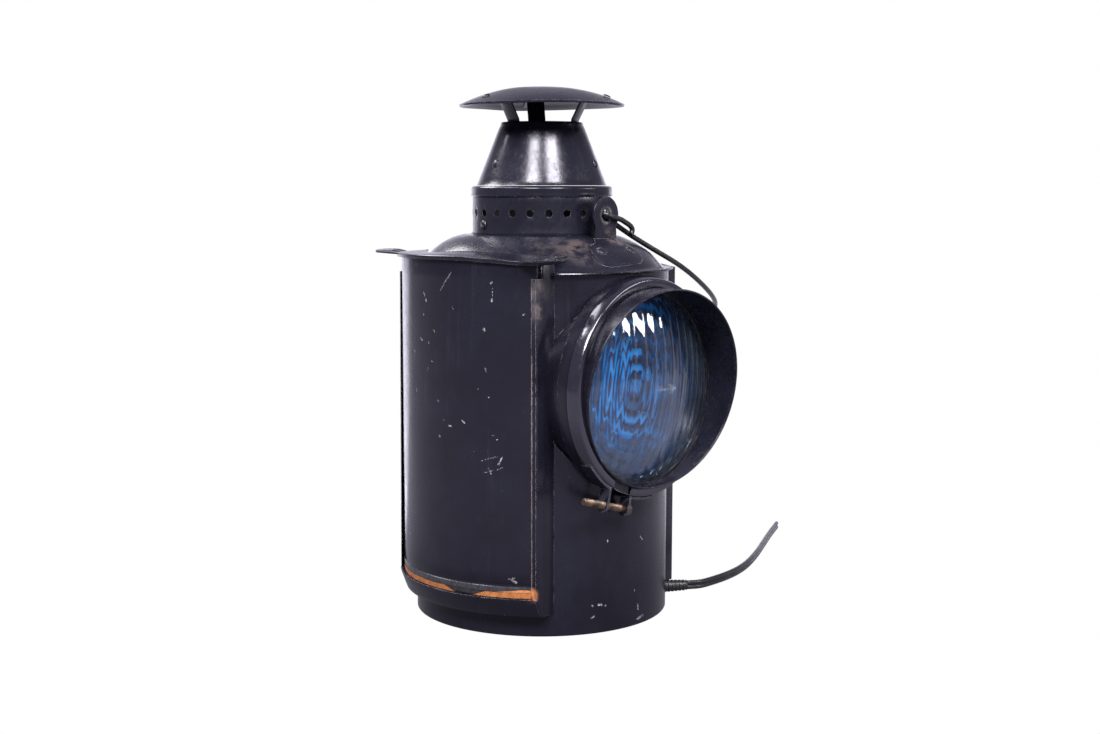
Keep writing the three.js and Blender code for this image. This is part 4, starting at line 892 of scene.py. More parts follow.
class AddDoor(LampPiece, bpy.types.Operator):
    """Roll the sliding door and fold its top plate with the two ears"""
    bl_idname = "semaphore_lamp.door"
    bl_label = "Sliding door"

    def execute(self, context):
        hem = [(103.6, 29.75), (103.6, 33.2), (103.75, 33.5), (103.95, 33.8), (104.0, 35.5), (103.9, 37.2),
               (103.65, 37.5), (103.0, 37.5), (102.95, 39.0), (103.3, 39.8), (103.65, 40.6)]
        heights = list(range(48, 256, 8))
        outline = [(102.5, 29.75)] + hem + [(103.65, z) for z in heights] + [(103.65, 260.2), (102.5, 260.2)]
        outline += [(102.5, z) for z in reversed(heights)]
        panel = door_sheet("door_sheet", outline, -68.6, 68.6, steps=96)
        uneven(panel, 0.0009, 0.075, lambda p: ramp(abs(p.y), 0.060, 0.040) * ramp(p.z, 0.042, 0.062)
               * ramp(p.z, 0.255, 0.235))
        soften(panel, 1.5, angle=50)
        shift(panel, lambda p: settle(Vector((p.x, p.y, 1))))
        shift(panel, lambda p: lifted(plate_bend(p.y) * ramp(p.z, 0.252, 0.260)))
        finish = enamel(
            "door_enamel", 0.14, 0.9, 0.4, streaks=1.0, scars=DOOR_SCARS, dents=0.7, primer=(29.5, 33.4))
        keep_piece(panel, finish, "door_panel", body="door")
        crescent = door_sheet("door_top_sheet", [
            (105.8, 258.8), (105.8, 261.3), (105.4, 261.75), (95, 263.2), (85.3, 264.35), (85, 264.3),
            (85, 263.35), (95, 262.1), (104.4, 260.8), (104.3, 258.9), (104.6, 258.7)], -70, 70, width=60)
        soften(crescent)
        tabs = []
        angles = [math.pi * i / 24 for i in range(25)]
        for side, half, reach in ((1, 10.6, 10.4), (-1, 12, 11.6)):
            tip = [(-77 + half * math.cos(a), 80.5 + reach * math.sin(a)) for a in angles]
            tab = plate(f"door_ear_{side}", [(-89.5, 63), (-66, 63)] + tip, 260.7, 261.8)
            carve(tab, round_bar("ear_hole", 3, (-77, 73.6, 255), (-77, 73.6, 266), 40))
            soften(tab)
            if side < 0:
                mirrored(tab)
            tabs.append(tab)
        top = merged("door_top", crescent, *tabs)
        shift(top, lambda p: lifted(plate_bend(p.y) - plate_sink(p) + 0.0005 * noise.noise(p * 30)))
        keep_piece(top, enamel("plate_enamel", 0.2, 0.8, 1.0), "door_top_plate", body="door")
        return {"FINISHED"}


ROOF = ((50.8, 276.0), (57.5, 274.4), (64.5, 271.3), (72.5, 267.2), (79.7, 262.2), (84.3, 257.6),
        (88.6, 252.9))


def roof_height(radius):
    """Top face of the roof, a smooth line through the CAD outline's points."""
    radius = min(ROOF[-1][0], max(ROOF[0][0], radius))
    knot = next(i for i in range(len(ROOF) - 1) if radius <= ROOF[i + 1][0])
    slopes = []
    for i in (knot, knot + 1):
        (a, low), (b, high) = ROOF[max(i - 1, 0)], ROOF[min(i + 1, len(ROOF) - 1)]
        slopes.append((high - low) / (b - a))
    (a, low), (b, high) = ROOF[knot], ROOF[knot + 1]
    run = b - a
    t = (radius - a) / run
    return ((2 * t ** 3 - 3 * t ** 2 + 1) * low + (t ** 3 - 2 * t ** 2 + t) * run * slopes[0]
            + (3 * t ** 2 - 2 * t ** 3) * high + (t ** 3 - t ** 2) * run * slopes[1])


def roof_swell(place):
    """How far the beaten roof stands up, in metres. It is highest behind the door's rear corner."""
    radius = math.hypot(place.x, place.y) / MM
    level = along(((51, 0), (59.5, 1.8), (65, 3.0), (72, 3.1), (78, 2.7), (82, 2.1), (88, 0)), radius)
    wave = along(((52, 0), (60, 1), (80, 1), (87, 0)), radius) * roof_wave(place)
    return (level * hump(place, 140, 62) + 0.9 * wave) * MM


def roof_wave(place):
    return noise.noise(Vector((place.x, place.y, 0)) * 26)


class AddRoof(LampPiece, bpy.types.Operator):
    """Spin the dished roof with its rolled brim"""
    bl_idname = "semaphore_lamp.roof"
    bl_label = "Roof"

    def execute(self, context):
        radii = [88.6, 87.2, 85.8, 84.3, 82.6, 80.8, 79, 77, 75, 72.5, 70, 67.5, 65, 62, 59.5, 57, 54.5,
                 52.4, 50.9]
        top = [(r, roof_height(r)) for r in radii]
        brim = [(91, 250.7), (95.6, 250.7), (96.3, 251), (96.6, 251.7), (96.3, 252.4), (95.6, 252.7),
                (94.8, 252.5), (93.6, 251.9), (91, 252.1)]
        under = [(r, h - 1) for r, h in reversed(top)]
        roof = turned("roof_sheet", brim + top + under, steps=192)
        cutter = block("bay_trim", (-110, -70.4, 246), (-40, 70.4, 290))
        carve(roof, carve(cutter, hollow(93, 240, 300)))

        def beaten(place):
            brim_share = ramp(math.hypot(place.x, place.y), 0.091, 0.095)
            return lifted(roof_swell(place) + brim_share * 0.0007 * roof_wave(place))
        shift(roof, beaten)
        finish = enamel("roof_enamel", 0.17, 0.9, 0.5, rubbed=ROOF_RUBS, dents=1.0)
        keep_piece(roof, finish, "roof_dome", angle=40)
        return {"FINISHED"}


class AddVentBand(LampPiece, bpy.types.Operator):
    """Roll the vent band with its holes, its bead and its screws"""
    bl_idname = "semaphore_lamp.vent_band"
    bl_label = "Vent band"

    def execute(self, context):
        outline = [(49.7, 271), (50.5, 271), (50.5, 277), (50.7, 277.6), (50.5, 278.2), (50.5, 285),
                   (50.5, 291.6), (50.5, 298), (50.5, 303), (49.7, 303), (49.7, 298), (49.7, 285),
                   (49.7, 278)]
        band = turned("vent_sheet", outline, steps=192)
        holes = []
        for i in range(24):
            turn = math.radians(49) + FULL * i / 24
            ends = [ring_at(turn, radius, 291.6) for radius in (45, 55)]
            holes.append(round_bar(f"vent_hole_{i}", 2.6, *ends, 20))
        carve(band, merged("vent_holes", *holes))
        soften(band, 1.5, angle=40)
        finish = enamel("vent_enamel", 0.2, 0.6, 0.9, dents=0.3, grime=0.6)
        keep_piece(band, finish, "vent_band", angle=40)
        bead = turned("bead_sheet", [
            (50.2, 303.3), (51.3, 303.45), (51.75, 304.4), (51.5, 305.2), (51.45, 308), (51.6, 308.9),
            (50.9, 310.2), (49.4, 310.75), (47.9, 310.9), (45.4, 310.9), (45.4, 310.1), (48.6, 309.9),
            (48.6, 303.3)], steps=160)
        finish = enamel("bead_enamel", 0.16, 0.6, 0.9, dents=0.2)
        keep_piece(bead, finish, "vent_bead", angle=45)
        tube = turned("draft_sheet", [
            (49.4, 271), (49.4, 271.8), (41, 271.8), (36, 297), (35.2, 297), (40.2, 271)], steps=96)
        tin = raw_metal("draft_tin", (0.32, 0.31, 0.30), (0.12, 0.10, 0.09), 0.45)
        keep_piece(tube, tin, "draft_tube")
        finish = enamel("screw_enamel", 0.3, 0.9, 1.0, dents=0.1)
        for i in range(3):
            turn = math.radians(168.3 + 120 * i)
            screw = rivet(f"band_screw_{i + 1}", ring_at(turn, 50.8, 283.2), ring_at(turn), 3.2, 1.6)
            slot = block("slot", (-4, -0.4, -0.7), (4, 0.4, 3))
            slot.data.transform(
                Matrix.Translation(ring_at(turn, 52.3, 283.2) * MM) @ Matrix.Rotation(turn, 4, "Z")
                @ Matrix.Rotation(math.pi / 2, 4, "Y") @ Matrix.Rotation(0.6 + i, 4, "Z"))
            carve(screw, slot)
            keep_piece(screw, finish, f"vent_screw_{i + 1}", angle=40)
        return {"FINISHED"}


CONE_FOOT, CONE_R, CONE_LEAN = 311.2, 47.6, 18 / 45.4
CAP_R, CAP_TOP, STRUT_HALF = 59.9, 381.8, 6.5


def cone_radius(height):
    return CONE_R - CONE_LEAN * (height - CONE_FOOT)


def cap_height(radius):
    return CAP_TOP - 12.1 * (radius / CAP_R) ** 2.5


def strut_height(radius):
    """Where a strut's top lies under the cap."""
    return cap_height(math.hypot(radius, STRUT_HALF) + 1) - 1.3


def cap_warp(place):
    """The cap sits a little low on the side of the door's rear corner."""
    low = (-0.686 * place.x + 0.728 * place.y) / (CAP_R * MM)
    return lifted(-0.0003 * (low + low * low))


class AddChimney(LampPiece, bpy.types.Operator):
    """Spin the cone and the cap, and rivet the struts between them"""
    bl_idname = "semaphore_lamp.chimney"
    bl_label = "Chimney cone and cap"

    def execute(self, context):
        heights = [CONE_FOOT + 4 * i for i in range(1, 11)]
        outer = [(CONE_R, CONE_FOOT), (47.2, 311.6)] + [(cone_radius(z), z) for z in heights]
        rim = [(30.1, 354.6), (29.95, 355.6), (29.4, 356.3), (28.8, 356.6), (28.3, 356.2), (28.2, 355.4)]
        inner = [(cone_radius(z) - 0.9, z) for z in reversed(heights)] + [(46.2, CONE_FOOT)]
        cone = turned("cone_sheet", outer + rim + inner, steps=160)
        uneven(cone, 0.00025, 0.03, lambda p: ramp(p.z, 0.315, 0.325))
        finish = enamel("cone_enamel", 0.15, 0.5, 0.5, dents=0.25)
        keep_piece(cone, finish, "chimney_cone", angle=40)

        top = [(CAP_R * (1 - i / 14), cap_height(CAP_R * (1 - i / 14))) for i in range(14)]
        hem = [(58.6, 368.0), (59.3, 367.95), (59.85, 368.4), (59.95, 369.1)]
        under = [(max(r - 1.0, 0.0), h - 1.0) for r, h in reversed(top[1:])]
        outline = [(0, CAP_TOP - 1)] + under + hem + top + [(0, CAP_TOP)]
        cap = turned("cap_sheet", outline, steps=160, closed=False)
        shift(cap, lambda p: cap_warp(p) + lifted(0.0007 * noise.noise(p * 24) * ramp(p.xy.length, 0, 0.03)))
        finish = enamel("cap_enamel", 0.22, 0.5, 0.8, dents=0.6, grime=0.6)
        keep_piece(cap, finish, "cap", angle=40)

        strut_finish = enamel("strut_enamel", 0.25, 0.5, 0.9, dents=0.2)
        rivet_finish = enamel("rivet_enamel", 0.28, 0.9, 1.0, dents=0.1)
        foot = math.sqrt((cone_radius(320.6) - 1.9) ** 2 - STRUT_HALF ** 2)
        lip = math.sqrt((cone_radius(356.6) - 2.7) ** 2 - STRUT_HALF ** 2)
        line = [(foot, 320.6), (lip, 356.0), (lip + 0.5, 358.0), (35.0, strut_height(36) - 2.8),
                (36.4, strut_height(36) - 1.4), (54, strut_height(54) - 1.2), (54, strut_height(54)),
                (35.8, strut_height(35.8) - 0.1), (34.0, strut_height(34.8) - 1.8),
                (lip - 0.8, 358.6), (lip - 1.2, 356.6), (foot - 1.2, 320.6)]
        slope = (cap_height(49) - cap_height(51)) / 2
        for i in range(3):
            turn = math.radians(171.3 + 120 * i)
            strut = plate(f"strut_sheet_{i + 1}", line, -STRUT_HALF, STRUT_HALF, across=1)
            soften(strut, 1.75)
            strut.data.transform(Matrix.Rotation(turn, 4, "Z"))
            shift(strut, lambda p: cap_warp(p) * ramp(p.z, 0.358, 0.366))
            keep_piece(strut, strut_finish, f"cap_strut_{i + 1}", angle=40)
            place = ring_at(turn, 50, cap_height(50) + 0.15)
            on_cap = rivet(f"cap_stud_{i + 1}", place, ring_at(turn, slope, 1))
            shift(on_cap, cap_warp)
            keep_piece(on_cap, rivet_finish, f"cap_rivet_{i + 1}", angle=None)
            place = ring_at(turn, cone_radius(326.6) + 0.15, 326.6)
            on_cone = rivet(f"cone_stud_{i + 1}", place, ring_at(turn, 1, CONE_LEAN), height=1.5)
            keep_piece(on_cone, rivet_finish, f"cone_rivet_{i + 1}", angle=None)
        return {"FINISHED"}


def bail_side(offset):
    """One side of the bail's run: its tail outside the lug, the hook through the lug, and the leg."""
    near, far = offset - 3.05, offset + 3.05
    tail = [(27.7, -2.4), (28.2, -1.3), (28.3, 0), (28, 1.2), (27.1, 2.2), (24.7, 3), (21.5, 3.1), (18.9, 3),
            (14.1, 2.9), (9.4, 2), (4.7, 0.7)]
    hook = [(x, y, 0) for x, y in arc((0.65, offset), 3.05, 90, 270, 14)]
    reach = ((30, 0), (90, BAIL_HALF - near))
    leg = [(u, near + along(reach, u), 0) for u in (9, 17, *range(25, 92, 6))]
    return [(u, far, w) for u, w in tail] + hook + leg


def bail_run():
    """The bail wire's run, hooked through the lugs: along the legs, across, and above the legs' plane."""
    angles = [math.pi * (0.5 - i / 72) for i in range(73)]
    bow = [(95 + 103 * math.cos(a), -BAIL_HALF * math.sin(a), 0) for a in angles]
    front = [(u, -y, w) for u, y, w in bail_side(61.8)]
    return front + bow + list(reversed(bail_side(58.3)))


class AddBail(LampPiece, bpy.types.Operator):
    """Bend the bail and rivet its two lugs to the roof"""
    bl_idname = "semaphore_lamp.bail"
    bl_label = "Bail and lugs"

    def execute(self, context):
        turn = Matrix.Translation((0, 0, BAIL_LIFT * MM)) @ Matrix.Rotation(math.radians(BAIL_ANGLE), 4, "Y")
        bends = ((60, 0), (90, 0.4), (130, -0.3), (170, 0.3))
        bail = wire("bail_wire", [Vector((u, y, w + along(bends, u))) for u, y, w in bail_run()], 1.9, 5)
        bail.data.transform(turn)
        finish = raw_metal("bail_iron", (0.013, 0.012, 0.014), (0.005, 0.005, 0.006), 0.26, 0.15)
        keep_piece(bail, finish, "bail", body="bail", angle=50)

        finish = enamel("lug_enamel", 0.2, 0.5, 0.95, grime=0.7, rings=LUG_RINGS, rubbed=LUG_RUBS)
        rivet_finish = enamel("lug_rivet_enamel", 0.3, 0.9, 1.0, dents=0.1)
        neck = math.degrees(math.acos(11 / 13.3))
        crown = arc((0, BAIL_LIFT), 13.3, -neck, 180 + neck, 40)
        radii = [49.5 + 1.5 * i for i in range(26)] + [88.4]
        lower = [(r, roof_height(r) + 0.35) for r in radii]
        upper = [(r, h + 1.5) for r, h in reversed(lower)]
        under = [(0, 230), (94, 230), (94, 252.9)]
        radii = (88.6, 84.3, 79.7, 76, 72.5, 68, 64.5, 60, 57.5, 54, 50.8)
        under += [(r, roof_height(r) + 0.4) for r in radii] + [(0, 276.4)]
        for side, inner, node in ((1, 61.05, "bail_lug_front"), (-1, 57.55, "bail_lug_rear")):
            outline = [(12.2, 258), (11.3, 275)] + crown + [(-11.3, 275), (-12.2, 258)]
            eye = plate("lug_eye", outline, -inner - 1.5, -inner, across=1)
            carve(eye, round_bar("eye_hole", 4.7, (0, -70, BAIL_LIFT), (0, -50, BAIL_LIFT), 40))
            soften(eye, 2, 3)
            skin = turned("lug_foot", lower + upper, steps=160)
            edge = arc((15.5, -75.8), 8.2, -60, 90, 16) + [(13.4, -66.6), (12.4, -64.6), (12.2, -inner)]
            shape = arc((0, 0), 86, -100.4, -79.6, 12) + edge + [(-x, y) for x, y in reversed(edge)]
            shape = [(x - 4 * ramp(y, -61.5, -67.5), y) for x, y in shape]
            carve(skin, plate("foot_shape", shape, 245, 290), "INTERSECT")
            soften(skin, 1.5, angle=50)
            carve(eye, turned("under_roof", under, steps=160, closed=False))
            lug = merged(node, eye, skin)
            if side < 0:
                mirrored(lug)
            smooth(lug, 40)
            shift(lug, lambda p: lifted(roof_swell(p) * ramp(p.z, 0.2795, 0.2755)))
            keep_piece(lug, finish, node, angle=None)
        for name, x, y in (
                ("front_left", -19.5, -75.8), ("front_right", 11.5, -75.8),
                ("rear_right", -19.5, 75.8), ("rear_left", 11.5, 75.8)):
            ring = Vector((x, y, 0))
            radius = ring.length
            slope = (roof_height(radius - 2) - roof_height(radius + 2)) / 4
            place = Vector((x, y, roof_height(radius) + 2.0 + roof_swell(ring * MM) / MM))
            head = rivet(f"lug_stud_{name}", place, ring / radius * slope + lifted(1), 3.3, 1.5)
            keep_piece(head, rivet_finish, f"lug_rivet_{name}", angle=None)
        return {"FINISHED"}


SCREW_Y, SCREW_Z, CLAMP_SLOPE = -99.7, 85.7, 15.1


def along_screw(name, radius, start, end, sides):
    """A round bar on the clamp screw's axis."""
    return round_bar(name, radius, (start, SCREW_Y, SCREW_Z), (end, SCREW_Y, SCREW_Z), sides)


class AddLensHousing(LampPiece, bpy.types.Operator):
    """Roll the barrel, the hood and the clamp band, and fit the clamp screw"""
    bl_idname = "semaphore_lamp.lens_housing"
    bl_label = "Lens housing"

    def execute(self, context):
        stub = turned("barrel_stub", oblong(69.3, 70.3, 56, 94.4), steps=160, lens=True)
        carve(stub, hollow(91.5, 60, 290))
        carve(stub, block("bay_room", (-100, -61, 60), (-54.5, 0, 290)))
        shoulder = turned("barrel_shoulder", [
            (75.2, 85), (75.2, 92), (75.2, 100.6), (68.55, 100.6), (68.55, 94.4), (66, 94.4), (66, 93.4),
            (69.3, 93.4), (69.3, 85)], steps=160, lens=True)
        carve(shoulder, hollow(93.3, 60, 290))
        for part in (stub, shoulder):
            soften(part, 1.25)
        barrel = merged("barrel", stub, shoulder)
        finish = enamel("barrel_enamel", 0.2, 0.6, 0.8, dents=0.4, grime=0.5)
        keep_piece(barrel, finish, "lens_barrel")
        outline = [(66.7, 100.95), (70.5, 100.95), (70.5, 101.9), (66.9, 101.95), (66.7, 101.8)]
        ring = turned("retaining_ring", outline, lens=True)
        finish = enamel("ring_enamel", 0.25, 0.4, 0.5, dents=0.1)
        keep_piece(ring, finish, "lens_retaining_ring")

        reaches = [106 + 3 * i for i in range(16)]
        outline = [(68.8, 102.3), (75.5, 102.3), (75.5, 103.3), (70.2, 103.3), (69.7, 103.8)]
        outline += [(69.7, reach) for reach in reaches] + [(68.8, reach) for reach in reversed(reaches)]
        hood = turned("hood_sheet", outline, steps=192, lens=True)
        normal = Matrix.Rotation(math.radians(6.4), 3, "X") @ Matrix.Rotation(math.radians(-7.4), 3, "Y")
        normal = normal @ Vector((0, 0, 1))
        face = Vector((normal.x, -normal.z, normal.y))
        trim(hood, (0, -117.4, LENS_Z), face)
        edge = []
        for a in [FULL * i / 160 for i in range(161)]:
            x, z = 69.25 * math.cos(a), 69.25 * math.sin(a)
            edge.append(Vector((x, -117.1 - (x * face.x + z * face.z) / face.y, LENS_Z + z)))
        hood = merged("hood", hood, wire("hood_lip", edge, 0.78, 3))
        finish = enamel("hood_enamel", 0.22, 0.9, 0.9, grime=0.4)
        keep_piece(hood, finish, "lens_hood", angle=40)

        lift = Matrix.Translation((0, 0, LENS_Z * MM))
        slope = lift @ Matrix.Rotation(math.radians(CLAMP_SLOPE), 4, "Y") @ lift.inverted()
        band = turned("clamp_sheet", [
            (76.9, 94.8), (77.6, 95.7), (77.8, 97.0), (77.5, 98.9), (77.0, 101), (76.4, 103), (75.8, 104.2),
            (75.0, 104.6), (70.1, 104.6), (70.1, 103.6), (75.9, 103.6), (75.9, 94.8)], steps=192, lens=True)
        carve(band, block("band_gap", (-20.6, -110, 76), (-2.2, -90, 120)))
        soften(band, 1.25)
        parts = [band]
        for place, low, high in ((-23.6, -47.6, -22.0), (-0.8, -0.8, 23.2)):
            strap = turned("strap", oblong(76.4, 78.2, -SCREW_Y - 4.2, -SCREW_Y + 4.2), steps=192, lens=True)
            trim(strap, (high, 0, 0), (1, 0, 0))
            trim(strap, (low, 0, 0), (-1, 0, 0))
            trim(strap, (0, 0, 120), (0, 0, 1))
            root = LENS_Z - math.sqrt(76.4 ** 2 - place ** 2)
            tip = arc((SCREW_Y, LENS_Z - 86.4), 4.4, 180, 360, 20)
            outline = tip + [(SCREW_Y + 4.4, root), (SCREW_Y - 4.4, root)]
            tab = plate("tab", outline, place, place + 1.6, across=0)
            carve(tab, along_screw("screw_hole", 3.1, place - 4, place + 6, 32))
            for part in (strap, tab):
                soften(part, 1.5)
                parts.append(part)
        clamp = merged("clamp", *parts)
        clamp.data.transform(slope)
        finish = enamel("clamp_enamel", 0.10, 1.0, 0.95, dents=0.7, mirror=0.9)
        keep_piece(clamp, finish, "clamp_band", angle=40)

        shank = along_screw("screw_shank", 2.45, -44, 2, 28)
        soften(shank, 4, 3)
        head = along_screw("screw_head", 4.4, 1.1, 3.9, 40)
        carve(head, block("screw_slot", (3.2, SCREW_Y - 6, 85.3), (6, SCREW_Y + 6, 86.1)))
        soften(head, 1.5)
        turns = []
        for i in range(46 * 16):
            a = FULL * (i % 16) / 16
            turns.append((-42.5 + 0.8 * i / 16, SCREW_Y + 2.5 * math.cos(a), SCREW_Z + 2.5 * math.sin(a)))
        screw = merged("screw", shank, head, wire("screw_thread", turns, 0.22, 1))
        screw.data.transform(slope)
        bronze = raw_metal("screw_bronze", finishes().screw_metal, (0.10, 0.075, 0.06), 0.36)
        keep_piece(screw, bronze, "clamp_screw", body="clamp_screw", angle=40)
        return {"FINISHED"}


def press(place):
    """Where a point of a flat grid goes on the lens' fluted front."""
    ridge_start = 0.86
    side, level = place.x * GLASS_EDGE * 1.06, place.y * GLASS_EDGE * 1.06
    x = side * math.cos(LENS_LEAN) + level * math.sin(LENS_LEAN)
    z = level * math.cos(LENS_LEAN) - side * math.sin(LENS_LEAN)
    share = min(1.0, math.hypot(x, z) / GLASS_EDGE)
    across = abs((side / flute_pitch() + 0.5 * sizes().flute_count) % 1.0 * 2 - 1)
    ridge = max(0.0, across - ridge_start)
    flute = -0.4 * (1 - min(across, ridge_start) ** 2) + 0.688 * (ridge - ridge * ridge / 0.28)
    reach = 100.5 + 16.3 * (1 - share * share) + flute * ramp(share, 1.0, 0.96)
    return Vector((x, -reach, LENS_Z + z)) * MM - place


class AddGlass(LampPiece, bpy.types.Operator):
    """Press the fluted clear lens and the stepped blue colour lens"""
    bl_idname = "semaphore_lamp.glass"
    bl_label = "Lenses"

    def execute(self, context):
        to_object_mode()
        bpy.ops.mesh.primitive_grid_add(x_subdivisions=sizes().flute_count * 12, y_subdivisions=40, size=2)
        front = fresh("lens_front")
        shift(front, press)
        edit(front)
        bpy.ops.mesh.extrude_region_move(TRANSFORM_OT_translate={"value": (0, 0.03, 0)})
        heal()
        rim, back, inner = 68.25, 96.6, 66.25
        disc = [(inner * (i / 8), back + 13.6 * (1 - (i / 8) ** 2)) for i in range(9)]
        disc += [(rim, back), (rim, 100.0), (67.8, 100.6), (66.5, 100.7), (66.4, 120), (0, 120)]
        lens = turned("clear_lens", disc, steps=192, closed=False, lens=True)
        carve(lens, front, "INTERSECT")
        keep_piece(lens, clear_glass("lens_glass"), "outer_lens", angle=20)

        outline = [(0, 85.3), (64.9, 85.3), (64.9, 88.6), (64.2, 89.2)]
        rings = 7
        width = 61.0 / rings
        for outer in [62.5 - width * i for i in range(rings)]:
            outline += [(outer, 88.6), (outer - width * 0.3, 90.6)]
            outline += [(outer - width * 0.75, 91.4), (outer - width + 0.6, 91.5)]
        outline = [p for p in outline if p[0] > 1.4 or p[0] == 0] + [(0, 91.5)]
        blue = turned("colour_glass", outline, steps=160, closed=False, lens=True)
        keep_piece(blue, blue_glass("colour_glass"), "colour_lens", angle=25)

        holder = turned("colour_holder", [
            (61.9, 84), (66.3, 84), (66.3, 92.1), (69.0, 92.1), (69.0, 93.1), (65.3, 93.1), (65.3, 85),
            (61.9, 85)],
            lens=True)
        tin = raw_metal("holder_tin", (0.30, 0.29, 0.28), (0.10, 0.09, 0.08), 0.4)
        keep_piece(holder, tin, "colour_lens_holder")
        outline = [(66.25, 94.7), (68.2, 94.7), (68.2, 96.3), (66.4, 96.3), (66.25, 96.0)]
        seal = turned("lens_seal", outline, steps=96, lens=True)
        keep_piece(seal, black_rubber("seal_rubber"), "lens_gasket")
        return {"FINISHED"}


class AddMastSocket(LampPiece, bpy.types.Operator):
    """Fold the tall mast socket"""
    bl_idname = "semaphore_lamp.mast_socket"
    bl_label = "Mast socket"

    def execute(self, context):
        back = BODY_R + 0.3
        outer, inner = math.sqrt(back ** 2 - 43 ** 2), math.sqrt(back ** 2 - 41.8 ** 2)
        corner = [(outer, 43), (102.8, 43), (103.9, 42.5), (104.4, 41.4)]
        room = [(103.2, 40.6), (103.1, 41.2), (102.4, 41.8), (inner, 41.8)]
        outline = [(x, -y) for x, y in corner] + corner[::-1] + room[::-1] + [(x, -y) for x, y in room]
        socket = plate("socket_sheet", outline, 4.7, 249.6)
        soften(socket, 1.5, angle=50)
        lid = block("socket_lid", (60, -42.4, 248.4), (103.8, 42.4, 249.55))
        carve(lid, hollow(93.3, 240, 256))
        socket = merged("socket", socket, lid)
        keep_piece(socket, enamel("socket_enamel", 0.22, 0.5, 0.8, streaks=0.5), "mast_socket")
        return {"FINISHED"}


class AddLight(LampPiece, bpy.types.Operator):
    """Fit the bulb on its bracket, the inner lead and the grommet"""
    bl_idname = "semaphore_lamp.light"
    bl_label = "Bulb and holder"

    def execute(self, context):
        tin = raw_metal("bracket_tin", (0.36, 0.35, 0.34), (0.14, 0.12, 0.11), 0.4)
        line = [(-52, 1.1), (-20.6, 1.1), (-18.8, 1.7), (-18, 3.2), (-18, 103.5), (22, 103.5), (22, 105.1),
                (-18.4, 105.1), (-19.6, 104.2), (-19.6, 3.4), (-20.2, 2.7), (-52, 2.7)]
        bracket = plate("bracket_strip", line, -13, 13, across=0)
        carve(bracket, hollow(3, 98, 112, 32))
        soften(bracket, 1.5, angle=40)
        keep_piece(bracket, tin, "holder_bracket")

        ribs = []
        for z in range(112, 132, 4):
            ribs += [(18, z), (17.4, z + 0.5), (17.4, z + 2.4), (18, z + 3)]
        outline = [(3, 105.4), (17.5, 105.4), (18, 106), *ribs, (18, 132.6), (17.2, 133.4), (13.2, 133.4)]
        holder = turned("bulb_holder", outline + [(13.2, 110.4), (3, 110.4)], steps=64)
        keep_piece(holder, phenolic("phenolic"), "lamp_holder", angle=40)

        thread = []
        for z in [117 + 3.4 * i for i in range(6)]:
            thread += [(12.0, z), (12.75, z + 0.9), (12.75, z + 1.7), (12.0, z + 2.6)]
        outline = [(0, 110.8), (4.6, 110.8), (5, 112.5), (10.5, 115), *thread, (12.4, 138.4), (12.8, 139.4)]
        cap = turned("bulb_screw_cap", outline + [(12.8, 140.6), (0, 140.6)], steps=48, closed=False)
        brass = raw_metal("cap_brass", (0.55, 0.42, 0.22), (0.3, 0.22, 0.12), 0.3)
        keep_piece(cap, brass, "bulb_cap", body="bulb", angle=40)
        neck = [(0, 141.1), (12.2, 141.1), (12.9, 144), (14.2, 150), (16.6, 157), (20.2, 164)]
        outline = neck + arc((0, 186), 28.85, -36, 88, 22) + [(0, 214.85)]
        bulb = turned("bulb", outline, steps=64, closed=False)
        keep_piece(bulb, bulb_glass("bulb_glass"), "bulb_glass", body="bulb", angle=40)

        outline = [(0, 89.85), (5.2, 89.85), (5.4, 90.1), (5.4, 91.35), (4.4, 91.4), (4.4, 93.3), (5.4, 93.3),
                   (5.4, 94.2), (4.9, 94.9)]
        for i in range(6):
            x, r = 95.4 + 2.9 * i, 4.75 - 0.13 * i
            outline += [(r, x), (r, x + 1.5), (r - 0.55, x + 1.7), (r - 0.55, x + 2.6)]
        outline += [(3.9, 112.9), (3.85, 113.3), (0, 113.3)]
        grommet = turned("grommet", outline, steps=40, closed=False)
        grommet.data.transform(
            Matrix.Translation((0, 0, CORD_Z * MM)) @ Matrix.Rotation(CORD_TURN, 4, "Z")
            @ Matrix.Rotation(math.pi / 2, 4, "Y"))
        keep_piece(grommet, black_rubber("grommet_rubber", 0.4), "cord_grommet", angle=40)
        run = []
        for i, share in enumerate((1, 0.96, 0.9, 0.8, 0.66, 0.5, 0.34, 0.2, 0.09, 0.03)):
            run.append(ring_at(CORD_TURN, 89.4 * share, 3.7 + 2.9 * ramp(i, 4, 1)))
        run += [lifted(z) for z in (11.5, 26, 52, 78, 97, 105, 110)]
        lead = wire("inner_lead", smooth_route(run, 5), 2.5)
        keep_piece(lead, black_rubber("lead_rubber", 0.35), "internal_lead", angle=40)
        return {"FINISHED"}


# The studio. The surround is bright behind the lamp and dark in front, and LIMB is where that changes

BEHIND, LIMB = (0.682, 0.731, 0), (0.765, 0.79)
BOXES = (
    ("left_box", -155.5, 43, 1.9, 0.58, 0.50, 56), ("middle_box", -111.0, 43, 1.9, 0.56, 0.50, 54),
    ("low_box", -54.0, 21.8, 1.9, 0.75, 0.20, 12), ("back_box", 100.0, 42, 2.0, 1.20, 0.60, 45),
    ("top_box", 124.0, 64, 2.0, 0.90, 0.60, 14), ("band_box", 149.0, 54, 1.9, 0.30, 0.30, 9),
)


